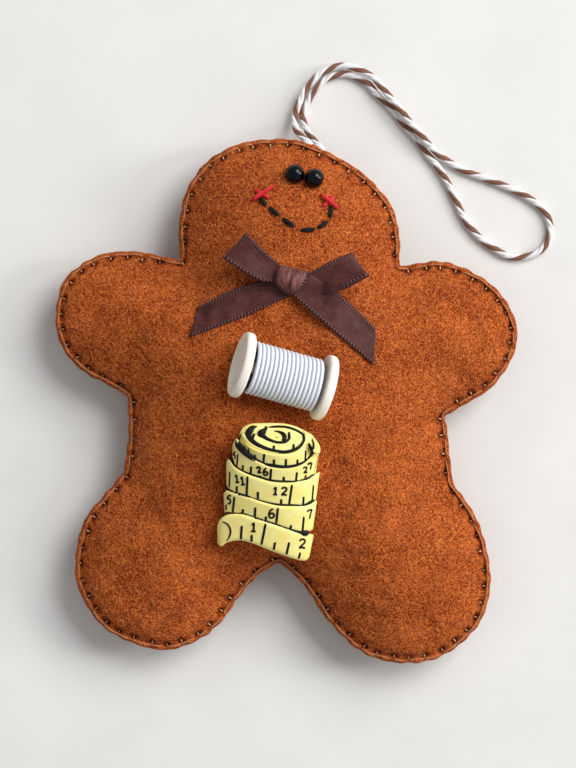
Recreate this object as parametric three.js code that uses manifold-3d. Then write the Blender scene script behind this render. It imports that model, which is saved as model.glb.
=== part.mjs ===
// Stuffed felt figure ornament: two hand-cut felt panels stitched round the edge over stuffing, with a
// bead-and-floss face, a ribbon bow, two moulded buttons and a twine hanging loop.
// It lies on its back: +X to the viewer's right, +Y to the head, +Z to the front, the table at z = 0.

import * as THREE from 'three';
import { mergeVertices } from 'three/addons/utils/BufferGeometryUtils.js';
import Module from 'manifold-3d';

const wasm = await Module();
wasm.setup();

// Driving dimensions: millimetres, degrees and counts

const clearance = 0.3; // between pieces that touch on the real ornament

// Felt panels, stuffed: both are cut to one outline
const feltThickness = 1.2;
const seamWidth = 2.0; // cut edge to stitch line
const frontCrown = 10.5; // swell of the front above the stitch line
const backCrown = 7.6; // swell of the back below the stitch line
const seamHeight = 7.0; // middle of the seam above the table
const fullness = 9.0; // distance from the stitch line in which the stuffing swells
const outlineStep = 4.2; // between points along the cut edge
const stitchLineStep = 4.6;
const panelStep = 5.0; // between places inside a panel
const panelMargin = 3.4; // stitch line to the nearest place inside a panel
const settlingRounds = 400;

// Inner corners of the outline, then the round stretches between them, clockwise from the left of the neck
const neckLeft = [-21.3, 28.2];
const neckRight = [22.7, 27.1];
const armpitRight = [31.9, -3.0];
const hipRight = [33.3, -16.0];
const crotch = [-1.3, -32.4];
const hipLeft = [-32.5, -14.0];
const armpitLeft = [-31.8, 1.0];
const headRound = [
  [-21.5, 34.9], [-20.1, 41.9], [-16.1, 47.8], [-9.9, 51.3], [-1.7, 52.5],
  [4.1, 51.7], [10.7, 48.6], [16.5, 44.6], [21.1, 39.0], [22.7, 33.0],
];
const rightArmRound = [
  [25.1, 27.4], [30.5, 28.1], [36.7, 26.2], [42.5, 22.0], [45.7, 16.6],
  [46.2, 13.0], [45.3, 8.8], [41.3, 2.9], [35.3, -1.0],
];
const rightSide = [[32.6, -9.4]];
const rightLegRound = [
  [38.2, -23.6], [40.3, -30.4], [40.9, -36.4], [38.7, -44.4], [31.7, -50.8],
  [24.9, -52.5], [15.7, -50.6], [8.5, -44.2], [3.1, -36.4],
];
const leftLegRound = [
  [-4.7, -34.2], [-8.1, -37.6], [-13.9, -45.2], [-17.9, -48.0], [-24.7, -49.8],
  [-35.9, -45.8], [-41.3, -38.2], [-42.3, -33.4], [-40.5, -24.1], [-34.7, -16.6],
];
const leftSide = [[-31.7, -7.0]];
const leftArmRound = [
  [-36.5, 3.6], [-40.6, 5.8], [-44.9, 10.8], [-46.2, 17.2], [-44.3, 24.4],
  [-38.1, 29.0], [-31.3, 30.0], [-25.5, 29.2],
];

// Stuffing wads
const wadInset = 4.0; // cut edge of the felt to the edge of a wad
const wadClearance = 0.6;
const wadEdgeStep = 2.1;

// Blanket-stitch thread round the edge
const edgeThread = 0.7;
const edgeThreadInset = 1.0;
const edgeThreadSides = 5;

// Eyes: two round beads on one thread
const beadDiameter = 3.6;
const beadBore = 1.2;
const beadSpacing = 3.95;
const beadPair = [3.6, 44.4];
const beadTurn = -13;
const beadThread = 0.6;
const beadThreadReach = 1.3; // from the bead to where its thread meets the felt
const beadThreadSteps = 24;
const beadSides = 14;
const beadBands = 8;

// Smile of running stitches, and a crossed pair of stitches on each cheek
const floss = 0.9;
const smileStitches = 6;
const smileGap = 0.9;
const smile = [[-4.9, 39.1], [-2.4, 37.3], [0.4, 35.1], [4.2, 33.5], [7.2, 34.5], [8.6, 36.3], [8.8, 37.6]];
const stitchArch = 0.25; // rise of a stitch at its middle
const crossArch = 1.8; // rise of a stitch over the one it crosses
const stitchSteps = 6;
const flossSides = 6;
const leftCheek = { at: [-4.76, 40.9], over: { turn: 34, length: 5.2 }, under: { turn: -28, length: 3.7 } };
const rightCheek = { at: [8.4, 39.6], over: { turn: -40, length: 4.6 }, under: { turn: 42, length: 3.5 } };

// Ribbon bow: each strip is given by its two edges in plan, from the knot outwards
const ribbonThickness = 0.35;
const ribbonClearance = 0.4;
const knot = { at: [0.9, 23.5], halfWidth: 3.4, halfHeight: 2.8, depth: 3.4, turn: -8 };
const knotBevel = 0.8;
const leftLoopEdges = [
  [[1.2, 24.9], [-4.5, 28.9], [-8.0, 32.9]],
  [[0.6, 23.2], [-6.6, 24.0], [-12.4, 28.2]],
];
const rightLoopEdges = [
  [[0.8, 24.6], [8.6, 27.3], [12.6, 29.0]],
  [[1.2, 22.8], [10.1, 21.9], [16.2, 24.2]],
];
const leftTailEdges = [
  [[0.4, 22.4], [-7.0, 22.6], [-16.9, 18.7]],
  [[0.9, 21.2], [-9.4, 16.5], [-18.7, 12.6]],
];
const rightTailEdges = [
  [[1.4, 22.0], [10.1, 20.5], [17.5, 14.2]],
  [[0.9, 21.2], [9.5, 13.9], [17.1, 7.2]],
];
// Reach along a strip, from 0 at the knot to 1 at its end, and height off the felt there
const loopProfile = [
  [0, 2.3], [0.35, 2.9], [0.7, 2.3], [0.93, 1.6], [1.0, 0.8], [0.93, 0.06], [0.75, 0], [0.4, 0.3], [0, 0.9],
];
const tailProfile = [[0, 0], [0.25, 0], [0.5, 0], [0.75, 0], [1, 0]];
const loopSteps = 18;
const tailSteps = 10;
const knotSegments = 8;

// Buttons: each sits on a flat that its stitches press into the front, and has a shank tab with an eye
const spoolSeat = { at: [-1.6, 5.2], tilt: 0, turn: -15.6, reach: 15, press: 0.7 };
const tapeSeat = { at: [-3.5, -17.5], tilt: 9, turn: 0, reach: 18, press: 0.7 };
const shankWidth = 4.0;
const shankThickness = 0.9;
const shankEye = 2.0;
const shankEyeDepth = 3.0; // back of the button to the middle of the eye
const sewingThread = 0.8;
const shankSegments = 6; // along a quarter of its round end
const pocketSides = 14;

// Spool button: a flat-backed reel with thread wound on it, shown leaning with its left end up
const reelLength = 18.8;
const reelDiameter = 13.0;
const reelFlange = 1.7;
const reelDish = 0.7;
const reelRim = 0.9; // width of the rounded lip round each flange
const reelSides = 22;
const reelLean = 12;
const reelRelief = 0.7; // depth of the moulded relief against a full round
const reelAxisHeight = 2.6;
const coreDiameter = 8.4;
const windingTurns = 15;
const windingThread = 0.34;
const windingSides = 5;
const windingSteps = 12; // along one turn
const windingEndGap = 0.75;
const windingSpread = 0.5; // how far the turns part for the shank

// Tape button: a coiled tape standing in five levels, moulded as a relief on a flat back. A rim is the
// line between two levels from left to right, with the depth of the relief there
const tapeRims = [
  { line: [[-9.8, -9.7], [-5.2, -8.9], [-1.2, -10.1], [3.5, -12.0], [8.0, -12.6]], depth: 3.7 },
  { line: [[-9.9, -6.3], [-6.2, -3.6], [-1.2, -4.7], [4.0, -6.5], [8.8, -8.1]], depth: 4.5 },
  { line: [[-8.6, -0.1], [-4.1, 0.0], [0.0, -1.3], [4.6, -1.9], [9.4, -1.4]], depth: 5.3 },
  { line: [[-8.1, 6.4], [-3.8, 4.3], [0.6, 3.1], [5.6, 3.0], [10.0, 4.3]], depth: 6.1 },
  { line: [[-6.9, 10.3], [-3.1, 7.8], [1.9, 5.9], [6.3, 6.5], [9.9, 8.9]], depth: 6.8 },
  { line: [[-5.5, 11.9], [-2.7, 9.7], [2.5, 8.6], [6.3, 9.7], [8.7, 11.0]], depth: 7.4 },
];
const tapeStep = 0.4; // from a rim back to the foot of the level above it
const tapeLap = 0.4; // how far that foot reaches down behind the rim
const tapeEndDepth = 0.28; // depth at the two ends of a level against its middle
const tapeRound = 2.2; // power of the curve across a level
const tapeColumns = 12;
const tapeTopBack = [[-5.3, 12.5], [-3.1, 13.9], [0.9, 14.1], [5.2, 13.5], [8.5, 11.5]];
const tapeTopFront = 8.3;
const tapeTopSlope = -0.73;
const tapeShoulder = [ // inner and outer side of the outermost turn, where it comes down at the right
  [[6.7, 12.9], [8.1, 12.1]], [[8.0, 11.6], [9.3, 11.0]], [[8.8, 10.4], [10.0, 9.8]], [[9.2, 8.9], [9.9, 8.7]],
];
const tapeShoulderDepths = [4.6, 6.6];
const tapeShankRoot = 2.4;
const tapeGroove = 0.8;
const tapeGrooveDepth = 0.6;
const tapeGrooveTurns = 1.6;
const tapeGrooveSteps = 32;
const tapeGrooveRadii = [5.6, 1.0]; // outer side of the groove at its start and its finish
const tapeGrooveCentre = [1.6, 11.3];
const tapeGrooveSquash = 0.42; // the round top is seen from the side

// Twine hanging loop: the route of one strand from the seam, round the loop and back to the seam
const twineDiameter = 1.4;
const twineSteps = 96;
const twineSides = 8;
const twineExit = [6.0, 50.8];
const twineExitTurn = 66.4;
const twineRoute = [
  [7.15, 51.4, 7.0], [6.3, 52.9, 5.3], [4.7, 54.6, 3.2], [3.6, 56.3, 1.7], [3.3, 57.7, 0.9],
  [3.6, 59.0, 0.75], [4.4, 60.6, 0.75], [5.2, 62.2, 0.75], [6.6, 63.8, 0.75], [7.7, 65.0, 0.75],
  [9.5, 65.9, 0.75], [12.0, 66.3, 0.75], [13.4, 66.0, 0.75], [15.4, 65.1, 0.75], [16.9, 64.0, 0.75],
  [18.0, 62.6, 0.75], [19.8, 60.9, 0.75], [22.1, 58.4, 0.75], [23.8, 56.2, 0.75], [25.9, 53.8, 0.75],
  [27.5, 51.8, 0.75], [28.5, 50.2, 0.75], [30.4, 47.9, 0.75], [32.5, 44.6, 0.75], [34.2, 41.1, 0.75],
  [36.0, 37.2, 0.75], [38.6, 33.7, 0.75], [41.9, 31.1, 0.75], [45.2, 29.3, 0.75], [48.7, 29.3, 0.75],
  [51.7, 30.6, 0.75], [53.2, 32.9, 0.75], [53.5, 35.5, 0.75], [52.4, 38.4, 0.75], [49.1, 41.2, 0.75],
  [44.9, 43.3, 0.75], [40.7, 45.0, 0.75], [36.5, 46.5, 0.75], [32.7, 48.6, 1.0], [30.4, 50.3, 1.6],
  [28.3, 52.4, 2.15], [26.7, 54.4, 2.2], [24.6, 56.8, 2.2], [22.9, 59.1, 2.2], [20.7, 61.7, 2.15],
  [19.2, 63.6, 1.8], [17.9, 65.2, 1.6], [16.1, 66.4, 1.6], [13.8, 67.4, 1.6], [12.2, 67.8, 1.6],
  [10.7, 67.8, 1.6], [9.0, 67.3, 1.6], [6.8, 66.3, 1.6], [5.4, 64.8, 1.6], [3.9, 63.0, 1.6],
  [3.0, 61.3, 1.6], [2.2, 59.5, 1.6], [1.8, 57.9, 1.7], [1.7, 56.2, 2.3], [2.0, 54.8, 3.6],
  [3.0, 53.6, 5.4], [4.1, 52.9, 6.6], [5.0, 52.35, 7.0],
];
const twineTailWidth = 4.4; // both strands, pressed flat in the seam
const twineTailThickness = 1.1;
const twineTailLength = 8.0;
const twineKnot = [5.6, 4.4, 3.6];
const twineTailSegments = 6;
const twineKnotSides = 10;

// Geometry helpers

const radians = THREE.MathUtils.degToRad;
const plan = (p) => new THREE.Vector2(p[0], p[1]);
const curveThrough = (points) => new THREE.CatmullRomCurve3(
  points.map((p) => new THREE.Vector3(p[0], p[1], p[2] ?? 0)), false, 'centripetal');

// A closed geometry with shared corners and its faces pointing out
function closed(geometry) {
  geometry.deleteAttribute('normal');
  geometry.deleteAttribute('uv');
  const merged = mergeVertices(geometry, 1e-4);
  const at = merged.attributes.position;
  const index = merged.index.array;
  const [a, b, c] = [new THREE.Vector3(), new THREE.Vector3(), new THREE.Vector3()];
  const kept = [];
  let volume = 0;
  for (let i = 0; i < index.length; i += 3) {
    const [i0, i1, i2] = [index[i], index[i + 1], index[i + 2]];
    if (i0 === i1 || i1 === i2 || i2 === i0) continue;
    volume += a.fromBufferAttribute(at, i0).dot(
      b.fromBufferAttribute(at, i1).cross(c.fromBufferAttribute(at, i2)));
    kept.push(i0, i1, i2);
  }
  merged.setIndex(volume < 0 ? kept.reverse() : kept);
  return merged;
}

const solidOf = (geometry) => {
  const g = closed(geometry);
  return new wasm.Manifold(new wasm.Mesh({
    numProp: 3,
    vertProperties: new Float32Array(g.attributes.position.array),
    triVerts: new Uint32Array(g.index.array),
  }));
};

const geometryOf = (solid) => {
  const mesh = solid.getMesh();
  const geometry = new THREE.BufferGeometry();
  geometry.setAttribute('position', new THREE.BufferAttribute(mesh.vertProperties, 3));
  geometry.setIndex(new THREE.BufferAttribute(mesh.triVerts, 1));
  return geometry;
};

const cut = (geometry, ...tools) => geometryOf(
  tools.reduce((solid, tool) => solid.subtract(solidOf(tool)), solidOf(geometry)));
const join = (...pieces) => geometryOf(pieces.map(solidOf).reduce((a, b) => a.add(b)));
const above = (geometry, z, size) => geometryOf(solidOf(geometry).intersect(solidOf(
  new THREE.BoxGeometry(size, size, size).translate(0, 0, z + size / 2))));

// Rings of equal length joined into one skin, with flat ends or, on a loop, back to the first ring
function loft(rings, loop = false) {
  const count = rings[0].length;
  const index = [];
  for (let r = 0; r < rings.length - (loop ? 0 : 1); r++) {
    const next = (r + 1) % rings.length;
    for (let k = 0; k < count; k++) {
      const k1 = (k + 1) % count;
      index.push(r * count + k, next * count + k, next * count + k1);
      index.push(r * count + k, next * count + k1, r * count + k1);
    }
  }
  for (let k = 1; k < count - 1 && !loop; k++) {
    const last = (rings.length - 1) * count;
    index.push(0, k, k + 1, last, last + k + 1, last + k);
  }
  const geometry = new THREE.BufferGeometry().setFromPoints(rings.flat());
  geometry.setIndex(index);
  return closed(geometry);
}

function tube(points, diameter, sides, steps) {
  const section = new THREE.Shape();
  for (let k = 0; k < sides; k++) {
    const turn = ((k + 0.5) / sides) * 2 * Math.PI;
    section[k ? 'lineTo' : 'moveTo'](Math.cos(turn) * diameter / 2, Math.sin(turn) * diameter / 2);
  }
  const path = curveThrough(points);
  return closed(new THREE.ExtrudeGeometry(section, { steps, extrudePath: path, bevelEnabled: false }));
}

// Each edge of a counter-clockwise outline moved in by its own distance
function inset(outline, distances) {
  const count = outline.length;
  const inward = outline.map((p, i) => {
    const edge = outline[(i + 1) % count].clone().sub(p).normalize();
    return new THREE.Vector2(-edge.y, edge.x);
  });
  return outline.map((p, i) => {
    const [n0, n1] = [inward[(i + count - 1) % count], inward[i]];
    const [d0, d1] = [distances[(i + count - 1) % count], distances[i]];
    const cross = n0.x * n1.y - n0.y * n1.x;
    if (Math.abs(cross) < 0.02) return p.clone().addScaledVector(n1, d1);
    return new THREE.Vector2(
      p.x + (d0 * n1.y - d1 * n0.y) / cross, p.y + (d1 * n0.x - d0 * n1.x) / cross);
  });
}

const evenInset = (outline, distance) => inset(outline, outline.map(() => distance));

// A loop with further points on its long edges, so that none is longer than a step
const refined = (loop, step) => loop.flatMap((p, i) => {
  const next = loop[(i + 1) % loop.length];
  const count = Math.ceil(p.distanceTo(next) / step);
  return Array.from({ length: count }, (_, k) => p.clone().lerp(next, k / count));
});

function insideOutline(p, outline) {
  let odd = false;
  outline.forEach((a, i) => {
    const b = outline[(i + 1) % outline.length];
    if ((a.y > p.y) !== (b.y > p.y) && p.x < a.x + (b.x - a.x) * (p.y - a.y) / (b.y - a.y)) odd = !odd;
  });
  return odd;
}

function distanceToOutline(p, outline) {
  const nearest = new THREE.Vector3();
  const from = new THREE.Vector3(p.x, p.y, 0);
  return Math.min(...outline.map((a, i) => {
    const b = outline[(i + 1) % outline.length];
    const edge = new THREE.Line3(new THREE.Vector3(a.x, a.y, 0), new THREE.Vector3(b.x, b.y, 0));
    return edge.closestPointToPoint(from, true, nearest).distanceTo(from);
  }));
}

// Delaunay triangles, counter-clockwise, by adding one point at a time
function triangulate(points) {
  const far = 1e4;
  const all = [...points, plan([-far, -far]), plan([far, -far]), plan([0, far])];
  const face = (i, j, k) => {
    const [a, b, c] = [all[i], all[j], all[k]];
    const twice = 2 * ((b.x - a.x) * (c.y - a.y) - (b.y - a.y) * (c.x - a.x));
    const [bb, cc] = [b.distanceToSquared(a), c.distanceToSquared(a)];
    const centre = plan([
      a.x + ((c.y - a.y) * bb - (b.y - a.y) * cc) / twice,
      a.y + ((b.x - a.x) * cc - (c.x - a.x) * bb) / twice]);
    return { corners: twice > 0 ? [i, j, k] : [i, k, j], centre, reach: centre.distanceToSquared(a) };
  };
  let faces = [face(points.length, points.length + 1, points.length + 2)];
  points.forEach((p, i) => {
    const open = new Map();
    faces = faces.filter((f) => {
      if (p.distanceToSquared(f.centre) >= f.reach) return true;
      f.corners.forEach((a, k) => {
        const b = f.corners[(k + 1) % 3];
        if (!open.delete(`${b} ${a}`)) open.set(`${a} ${b}`, [a, b]);
      });
      return false;
    });
    open.forEach(([a, b]) => faces.push(face(a, b, i)));
  });
  return faces.map((f) => f.corners).filter((f) => Math.max(...f) < points.length);
}

// Rows of places set out as a triangular lattice over the box of an outline
function lattice(outline, step) {
  const box = new THREE.Box2().setFromPoints(outline);
  const rowHeight = step * Math.sqrt(0.75);
  const places = [];
  for (let row = 0, y = box.min.y; y < box.max.y; row++, y += rowHeight) {
    for (let x = box.min.x + (row % 2) * step / 2; x < box.max.x; x += step) places.push(plan([x, y]));
  }
  return places;
}

// A flat net over an outline: its edge first, then any inner rings, then the places well inside them
function net(outline, rings, places, margin) {
  const core = rings.at(-1) ?? outline;
  const inner = places.filter((p) => insideOutline(p, core) && distanceToOutline(p, core) > margin);
  const points = [...outline, ...rings.flat(), ...inner];
  const middle = (f) => f.reduce((sum, i) => sum.add(points[i]), plan([0, 0])).divideScalar(3);
  const faces = triangulate(points).filter((f) => insideOutline(middle(f), outline));
  return { points, faces, edge: outline.length };
}

// A sheet between two heights over a net
function sheet(flat, top, bottom) {
  const count = flat.points.length;
  const at = [...flat.points.map((p, i) => new THREE.Vector3(p.x, p.y, top[i])),
    ...flat.points.map((p, i) => new THREE.Vector3(p.x, p.y, bottom[i]))];
  const index = [];
  flat.faces.forEach(([a, b, c]) => index.push(a, b, c, count + a, count + c, count + b));
  for (let i = 0; i < flat.edge; i++) {
    const j = (i + 1) % flat.edge;
    index.push(count + i, count + j, j, count + i, j, i);
  }
  const geometry = new THREE.BufferGeometry().setFromPoints(at);
  geometry.setIndex(index);
  return closed(geometry);
}

// Value over a net at any place in plan, from the corners of the face there
function valueAt(flat, values, x, y) {
  const p = new THREE.Vector3(x, y, 0);
  const corner = (i) => new THREE.Vector3(flat.points[i].x, flat.points[i].y, 0);
  const share = new THREE.Vector3();
  let best = { least: -Infinity, value: 0 };
  flat.faces.forEach((f) => {
    THREE.Triangle.getBarycoord(p, corner(f[0]), corner(f[1]), corner(f[2]), share);
    const least = Math.min(share.x, share.y, share.z);
    if (least > best.least) {
      best = { least, value: share.x * values[f[0]] + share.y * values[f[1]] + share.z * values[f[2]] };
    }
  });
  return best.value;
}

// The stuffed figure: outline, swell and skins

const stretch = (from, through, to) => {
  const curve = curveThrough([from, ...through, to]);
  return curve.getSpacedPoints(Math.max(2, Math.round(curve.getLength() / outlineStep)));
};
const stretches = {
  head: stretch(neckLeft, headRound, neckRight),
  rightArm: stretch(neckRight, rightArmRound, armpitRight),
  rightSide: stretch(armpitRight, rightSide, hipRight),
  rightLeg: stretch(hipRight, rightLegRound, crotch),
  leftLeg: stretch(crotch, leftLegRound, hipLeft),
  leftSide: stretch(hipLeft, leftSide, armpitLeft),
  leftArm: stretch(armpitLeft, leftArmRound, neckLeft),
};
const outline = Object.values(stretches)
  .flatMap((points) => points.slice(0, -1).map((p) => plan([p.x, p.y]))).reverse();
const stitchLine = refined(evenInset(outline, seamWidth), stitchLineStep);
const panelPlaces = lattice(outline, panelStep);
const panel = net(outline, [stitchLine], panelPlaces, panelMargin);
const seamPoints = outline.length + stitchLine.length;

// Neighbours of each corner of the panel net
const neighbours = panel.points.map(() => new Set());
panel.faces.forEach((f) => f.forEach((i) => f.forEach((j) => i !== j && neighbours[i].add(j))));

// Swell of a stuffed skin held flat at the seam: each place settles near the mean of those round it
function swell(crown) {
  const rise = panel.points.map(() => 0);
  for (let round = 0; round < settlingRounds; round++) {
    for (let i = seamPoints; i < rise.length; i++) {
      const near = [...neighbours[i]];
      const mean = near.reduce((sum, j) => sum + rise[j], 0) / near.length;
      const spread = near.reduce((sum, j) => sum
        + panel.points[i].distanceToSquared(panel.points[j]), 0) / near.length / 4;
      rise[i] = (mean + spread) / (1 + spread / fullness ** 2);
    }
  }
  const most = Math.max(...rise);
  return rise.map((r) => r * crown / most);
}

// Upright thickness of the felt where its surface slopes
function uprightThickness(rise) {
  const normals = panel.points.map(() => new THREE.Vector3());
  const corner = (i) => new THREE.Vector3(panel.points[i].x, panel.points[i].y, rise[i]);
  panel.faces.forEach((f) => {
    const [a, b, c] = f.map(corner);
    const normal = b.sub(a).cross(c.sub(a));
    f.forEach((i) => normals[i].add(normal));
  });
  return normals.map((n, i) => (i < seamPoints ? feltThickness : feltThickness / n.normalize().z));
}

const frontSwell = swell(frontCrown);
const frontUpright = uprightThickness(frontSwell);
const frontRim = seamHeight + clearance / 2;
const freeFront = frontSwell.map((r, i) => frontRim + r + frontUpright[i]);

// Height of a button's seat, a plane that tilts with the belly
const seatCentre = (seat) => valueAt(panel, freeFront, ...seat.at) - seat.press;
const seatHeights = new Map([spoolSeat, tapeSeat].map((seat) => [seat, seatCentre(seat)]));
const seatPlane = (seat, p) => seatHeights.get(seat) + (p.y - seat.at[1]) * Math.tan(radians(seat.tilt));
const frontOuter = freeFront.map((z, i) => {
  const p = panel.points[i];
  const pressed = [spoolSeat, tapeSeat].filter((seat) => p.distanceTo(plan(seat.at)) < seat.reach);
  return i < seamPoints ? z : Math.min(z, ...pressed.map((seat) => seatPlane(seat, p)));
});
const frontInner = frontOuter.map((z, i) => Math.max(z - frontUpright[i], frontRim));

const backSwell = swell(backCrown);
const backUpright = uprightThickness(backSwell);
const backRim = seamHeight - clearance / 2;
const backOuter = backSwell.map((r, i) => Math.max(backRim - r - backUpright[i], 0));
const backInner = backOuter.map((z, i) => Math.min(z + backUpright[i], backRim));

const frontAt = (x, y) => valueAt(panel, frontOuter, x, y);
function frontNormal(x, y) {
  const reach = 1.5;
  return new THREE.Vector3(
    frontAt(x - reach, y) - frontAt(x + reach, y),
    frontAt(x, y - reach) - frontAt(x, y + reach), 2 * reach).normalize();
}

// Twine where it is sewn into the seam, with its knot inside the head

const twineTailPlace = new THREE.Matrix4().makeTranslation(twineExit[0], twineExit[1], seamHeight)
  .multiply(new THREE.Matrix4().makeRotationZ(radians(twineExitTurn)));

function twineTail(grow) {
  const half = [twineTailWidth / 2 + grow, twineTailThickness / 2 + grow];
  const section = new THREE.Shape();
  section.absellipse(0, 0, half[0], half[1], 0, 2 * Math.PI);
  const strip = new THREE.ExtrudeGeometry(section, {
    depth: twineTailLength + grow, bevelEnabled: false, curveSegments: twineTailSegments,
  });
  const lengthwise = new THREE.Matrix4().makeBasis(
    new THREE.Vector3(0, 1, 0), new THREE.Vector3(0, 0, 1), new THREE.Vector3(1, 0, 0));
  strip.applyMatrix4(lengthwise).translate(-twineTailLength, 0, 0);
  const lump = new THREE.SphereGeometry(1, twineKnotSides, twineKnotSides);
  lump.scale(...twineKnot.map((size) => size / 2 + grow)).translate(-twineTailLength, 0, 0);
  return join(strip, lump).applyMatrix4(twineTailPlace);
}

// Button places, shanks and the holes that take them

const buttonPlace = (seat) => {
  const tilt = radians(seat.tilt);
  const place = new THREE.Group();
  place.position.set(seat.at[0], seat.at[1], seatHeights.get(seat));
  place.position.add(new THREE.Vector3(0, -Math.sin(tilt), Math.cos(tilt)).multiplyScalar(clearance));
  place.rotation.set(tilt, 0, radians(seat.turn));
  place.updateMatrix();
  return place;
};
const spoolPlace = buttonPlace(spoolSeat);
const tapePlace = buttonPlace(tapeSeat);
const shankLength = shankEyeDepth + shankWidth / 2;
const shankHole = Math.hypot(shankWidth, shankThickness) / 2 + clearance;

// A rounded tab below z = 0 with an eye across it, reaching up into the button by its root
function shank(root) {
  const half = shankWidth / 2;
  const tab = new THREE.Shape();
  tab.moveTo(-half, root).lineTo(-half, -shankEyeDepth);
  tab.absarc(0, -shankEyeDepth, half, Math.PI, 2 * Math.PI);
  tab.lineTo(half, root);
  const eye = new THREE.Path().absarc(0, -shankEyeDepth, shankEye / 2, 0, 2 * Math.PI, true);
  tab.holes.push(eye);
  const blade = new THREE.ExtrudeGeometry(tab, {
    depth: shankThickness, bevelEnabled: false, curveSegments: shankSegments,
  });
  return blade.translate(0, 0, -shankThickness / 2).rotateX(Math.PI / 2).rotateZ(Math.PI / 2);
}

// The round hole for a shank through the felt and into the stuffing
const shankPocket = (place) => {
  const depth = shankLength + 2 * clearance;
  const hole = new THREE.CylinderGeometry(shankHole, shankHole, depth + feltThickness, pocketSides);
  hole.rotateX(Math.PI / 2).translate(0, 0, (feltThickness - depth) / 2);
  return hole.applyMatrix4(place.matrix);
};
const pockets = [shankPocket(spoolPlace), shankPocket(tapePlace)];
const sewingBar = () => {
  const reach = shankHole - clearance;
  const ends = [[-reach, 0, -shankEyeDepth], [reach, 0, -shankEyeDepth]];
  return tube(ends, sewingThread, flossSides, 1);
};

// Materials

const finish = (color, roughness, metalness = 0) => new THREE.MeshStandardMaterial(
  { color, roughness, metalness });
const felt = () => finish(0xa5562a, 0.95);
const wadding = () => finish(0xf2efe6, 1.0);
const satin = () => finish(0x4f302d, 0.45);
const redFloss = () => finish(0xd8202c, 0.6);
const blackFloss = () => finish(0x17140f, 0.7);
const blackGlaze = () => finish(0x07080a, 0.08);
const ivory = () => finish(0xe9dfcb, 0.35);
const silverThread = () => finish(0xc9ced8, 0.35, 0.4);
const tapeYellow = () => finish(0xe8d588, 0.4);
const twineCotton = () => finish(0xd9cfc4, 0.85);

const ornament = new THREE.Group();
const place = (parent, name, geometry, material) => {
  const mesh = new THREE.Mesh(geometry, material);
  mesh.name = name;
  parent.add(mesh);
};

// Felt panels, with the channel for the twine in the seam and the holes for the button shanks

const channel = twineTail(clearance);
place(ornament, 'front_felt', cut(sheet(panel, frontOuter, frontInner), channel, ...pockets), felt());
place(ornament, 'back_felt', cut(sheet(panel, backInner, backOuter), channel), felt());

// Stuffing: one filling shape between the panels, parted into a torso wad, a head wad and four limb wads

const fillingEdge = refined(evenInset(outline, wadInset), wadEdgeStep);
const filling = net(fillingEdge, [], panelPlaces, panelMargin);
const roomUnder = frontInner.map((z, i) => z - wadClearance * frontUpright[i] / feltThickness);
const roomOver = backInner.map((z, i) => z + wadClearance * backUpright[i] / feltThickness);
const fillingTop = filling.points.map((p) => valueAt(panel, roomUnder, p.x, p.y));
const fillingBottom = filling.points.map((p) => valueAt(panel, roomOver, p.x, p.y));
const fillingSolid = solidOf(sheet(filling, fillingTop, fillingBottom));

// The part of the filling inside a region, drawn in by half a clearance along its straight chords
function wad(edges) {
  const loop = edges.flatMap(({ points }) => points.slice(0, -1).map((p) => plan([p.x, p.y]))).reverse();
  const gaps = edges.flatMap(({ points, gap }) => points.slice(0, -1).map(() => gap)).reverse();
  gaps.push(gaps.shift());
  const region = new THREE.ExtrudeGeometry(new THREE.Shape(inset(loop, gaps)), {
    depth: 2 * (seamHeight + frontCrown), bevelEnabled: false,
  });
  return geometryOf(fillingSolid.intersect(solidOf(region)));
}

const felted = (points) => ({ points, gap: 0 });
const chord = (from, to) => ({ points: [plan(from), plan(to)], gap: clearance / 2 });
const torsoWad = wad([
  chord(neckLeft, neckRight), chord(neckRight, armpitRight), felted(stretches.rightSide),
  chord(hipRight, crotch), chord(crotch, hipLeft), felted(stretches.leftSide), chord(armpitLeft, neckLeft),
]);
const headWad = wad([felted(stretches.head), chord(neckRight, neckLeft)]);
place(ornament, 'stuffing_torso', cut(torsoWad, ...pockets), wadding());
place(ornament, 'stuffing_head', cut(headWad, channel), wadding());
const limbs = {
  stuffing_right_arm: [stretches.rightArm, armpitRight, neckRight],
  stuffing_right_leg: [stretches.rightLeg, crotch, hipRight],
  stuffing_left_leg: [stretches.leftLeg, hipLeft, crotch],
  stuffing_left_arm: [stretches.leftArm, neckLeft, armpitLeft],
};
Object.entries(limbs).forEach(([name, [points, from, to]]) => {
  place(ornament, name, wad([felted(points), chord(from, to)]), wadding());
});

// Thread of the blanket stitch, lying on the front of the seam all round

const edgeLine = evenInset(outline, edgeThreadInset);
const edgeHeight = frontRim + feltThickness + clearance + edgeThread / 2;
const edgeRings = edgeLine.map((p, i) => {
  const [before, after] = [edgeLine.at(i - 1), edgeLine[(i + 1) % edgeLine.length]];
  const along = after.clone().sub(before).normalize();
  return Array.from({ length: edgeThreadSides }, (_, k) => {
    const turn = (k / edgeThreadSides) * 2 * Math.PI;
    const out = Math.cos(turn) * edgeThread / 2;
    return new THREE.Vector3(p.x + along.y * out, p.y - along.x * out,
      edgeHeight + Math.sin(turn) * edgeThread / 2);
  });
});
place(ornament, 'edge_thread', loft(edgeRings, true), finish(0xb0622f, 0.5));

// Twine: knot and pressed tail in the seam, and the free loop with a rounded end on each strand

place(ornament, 'twine_knot', twineTail(0), twineCotton());
const twineEnd = (p) => new THREE.SphereGeometry(twineDiameter / 2, twineSides, twineSides).translate(...p);
place(ornament, 'hang_twine', join(tube(twineRoute, twineDiameter, twineSides, twineSteps),
  twineEnd(twineRoute[0]), twineEnd(twineRoute.at(-1))), twineCotton());

// Eyes: beads threaded side by side on the slope of the head

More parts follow.
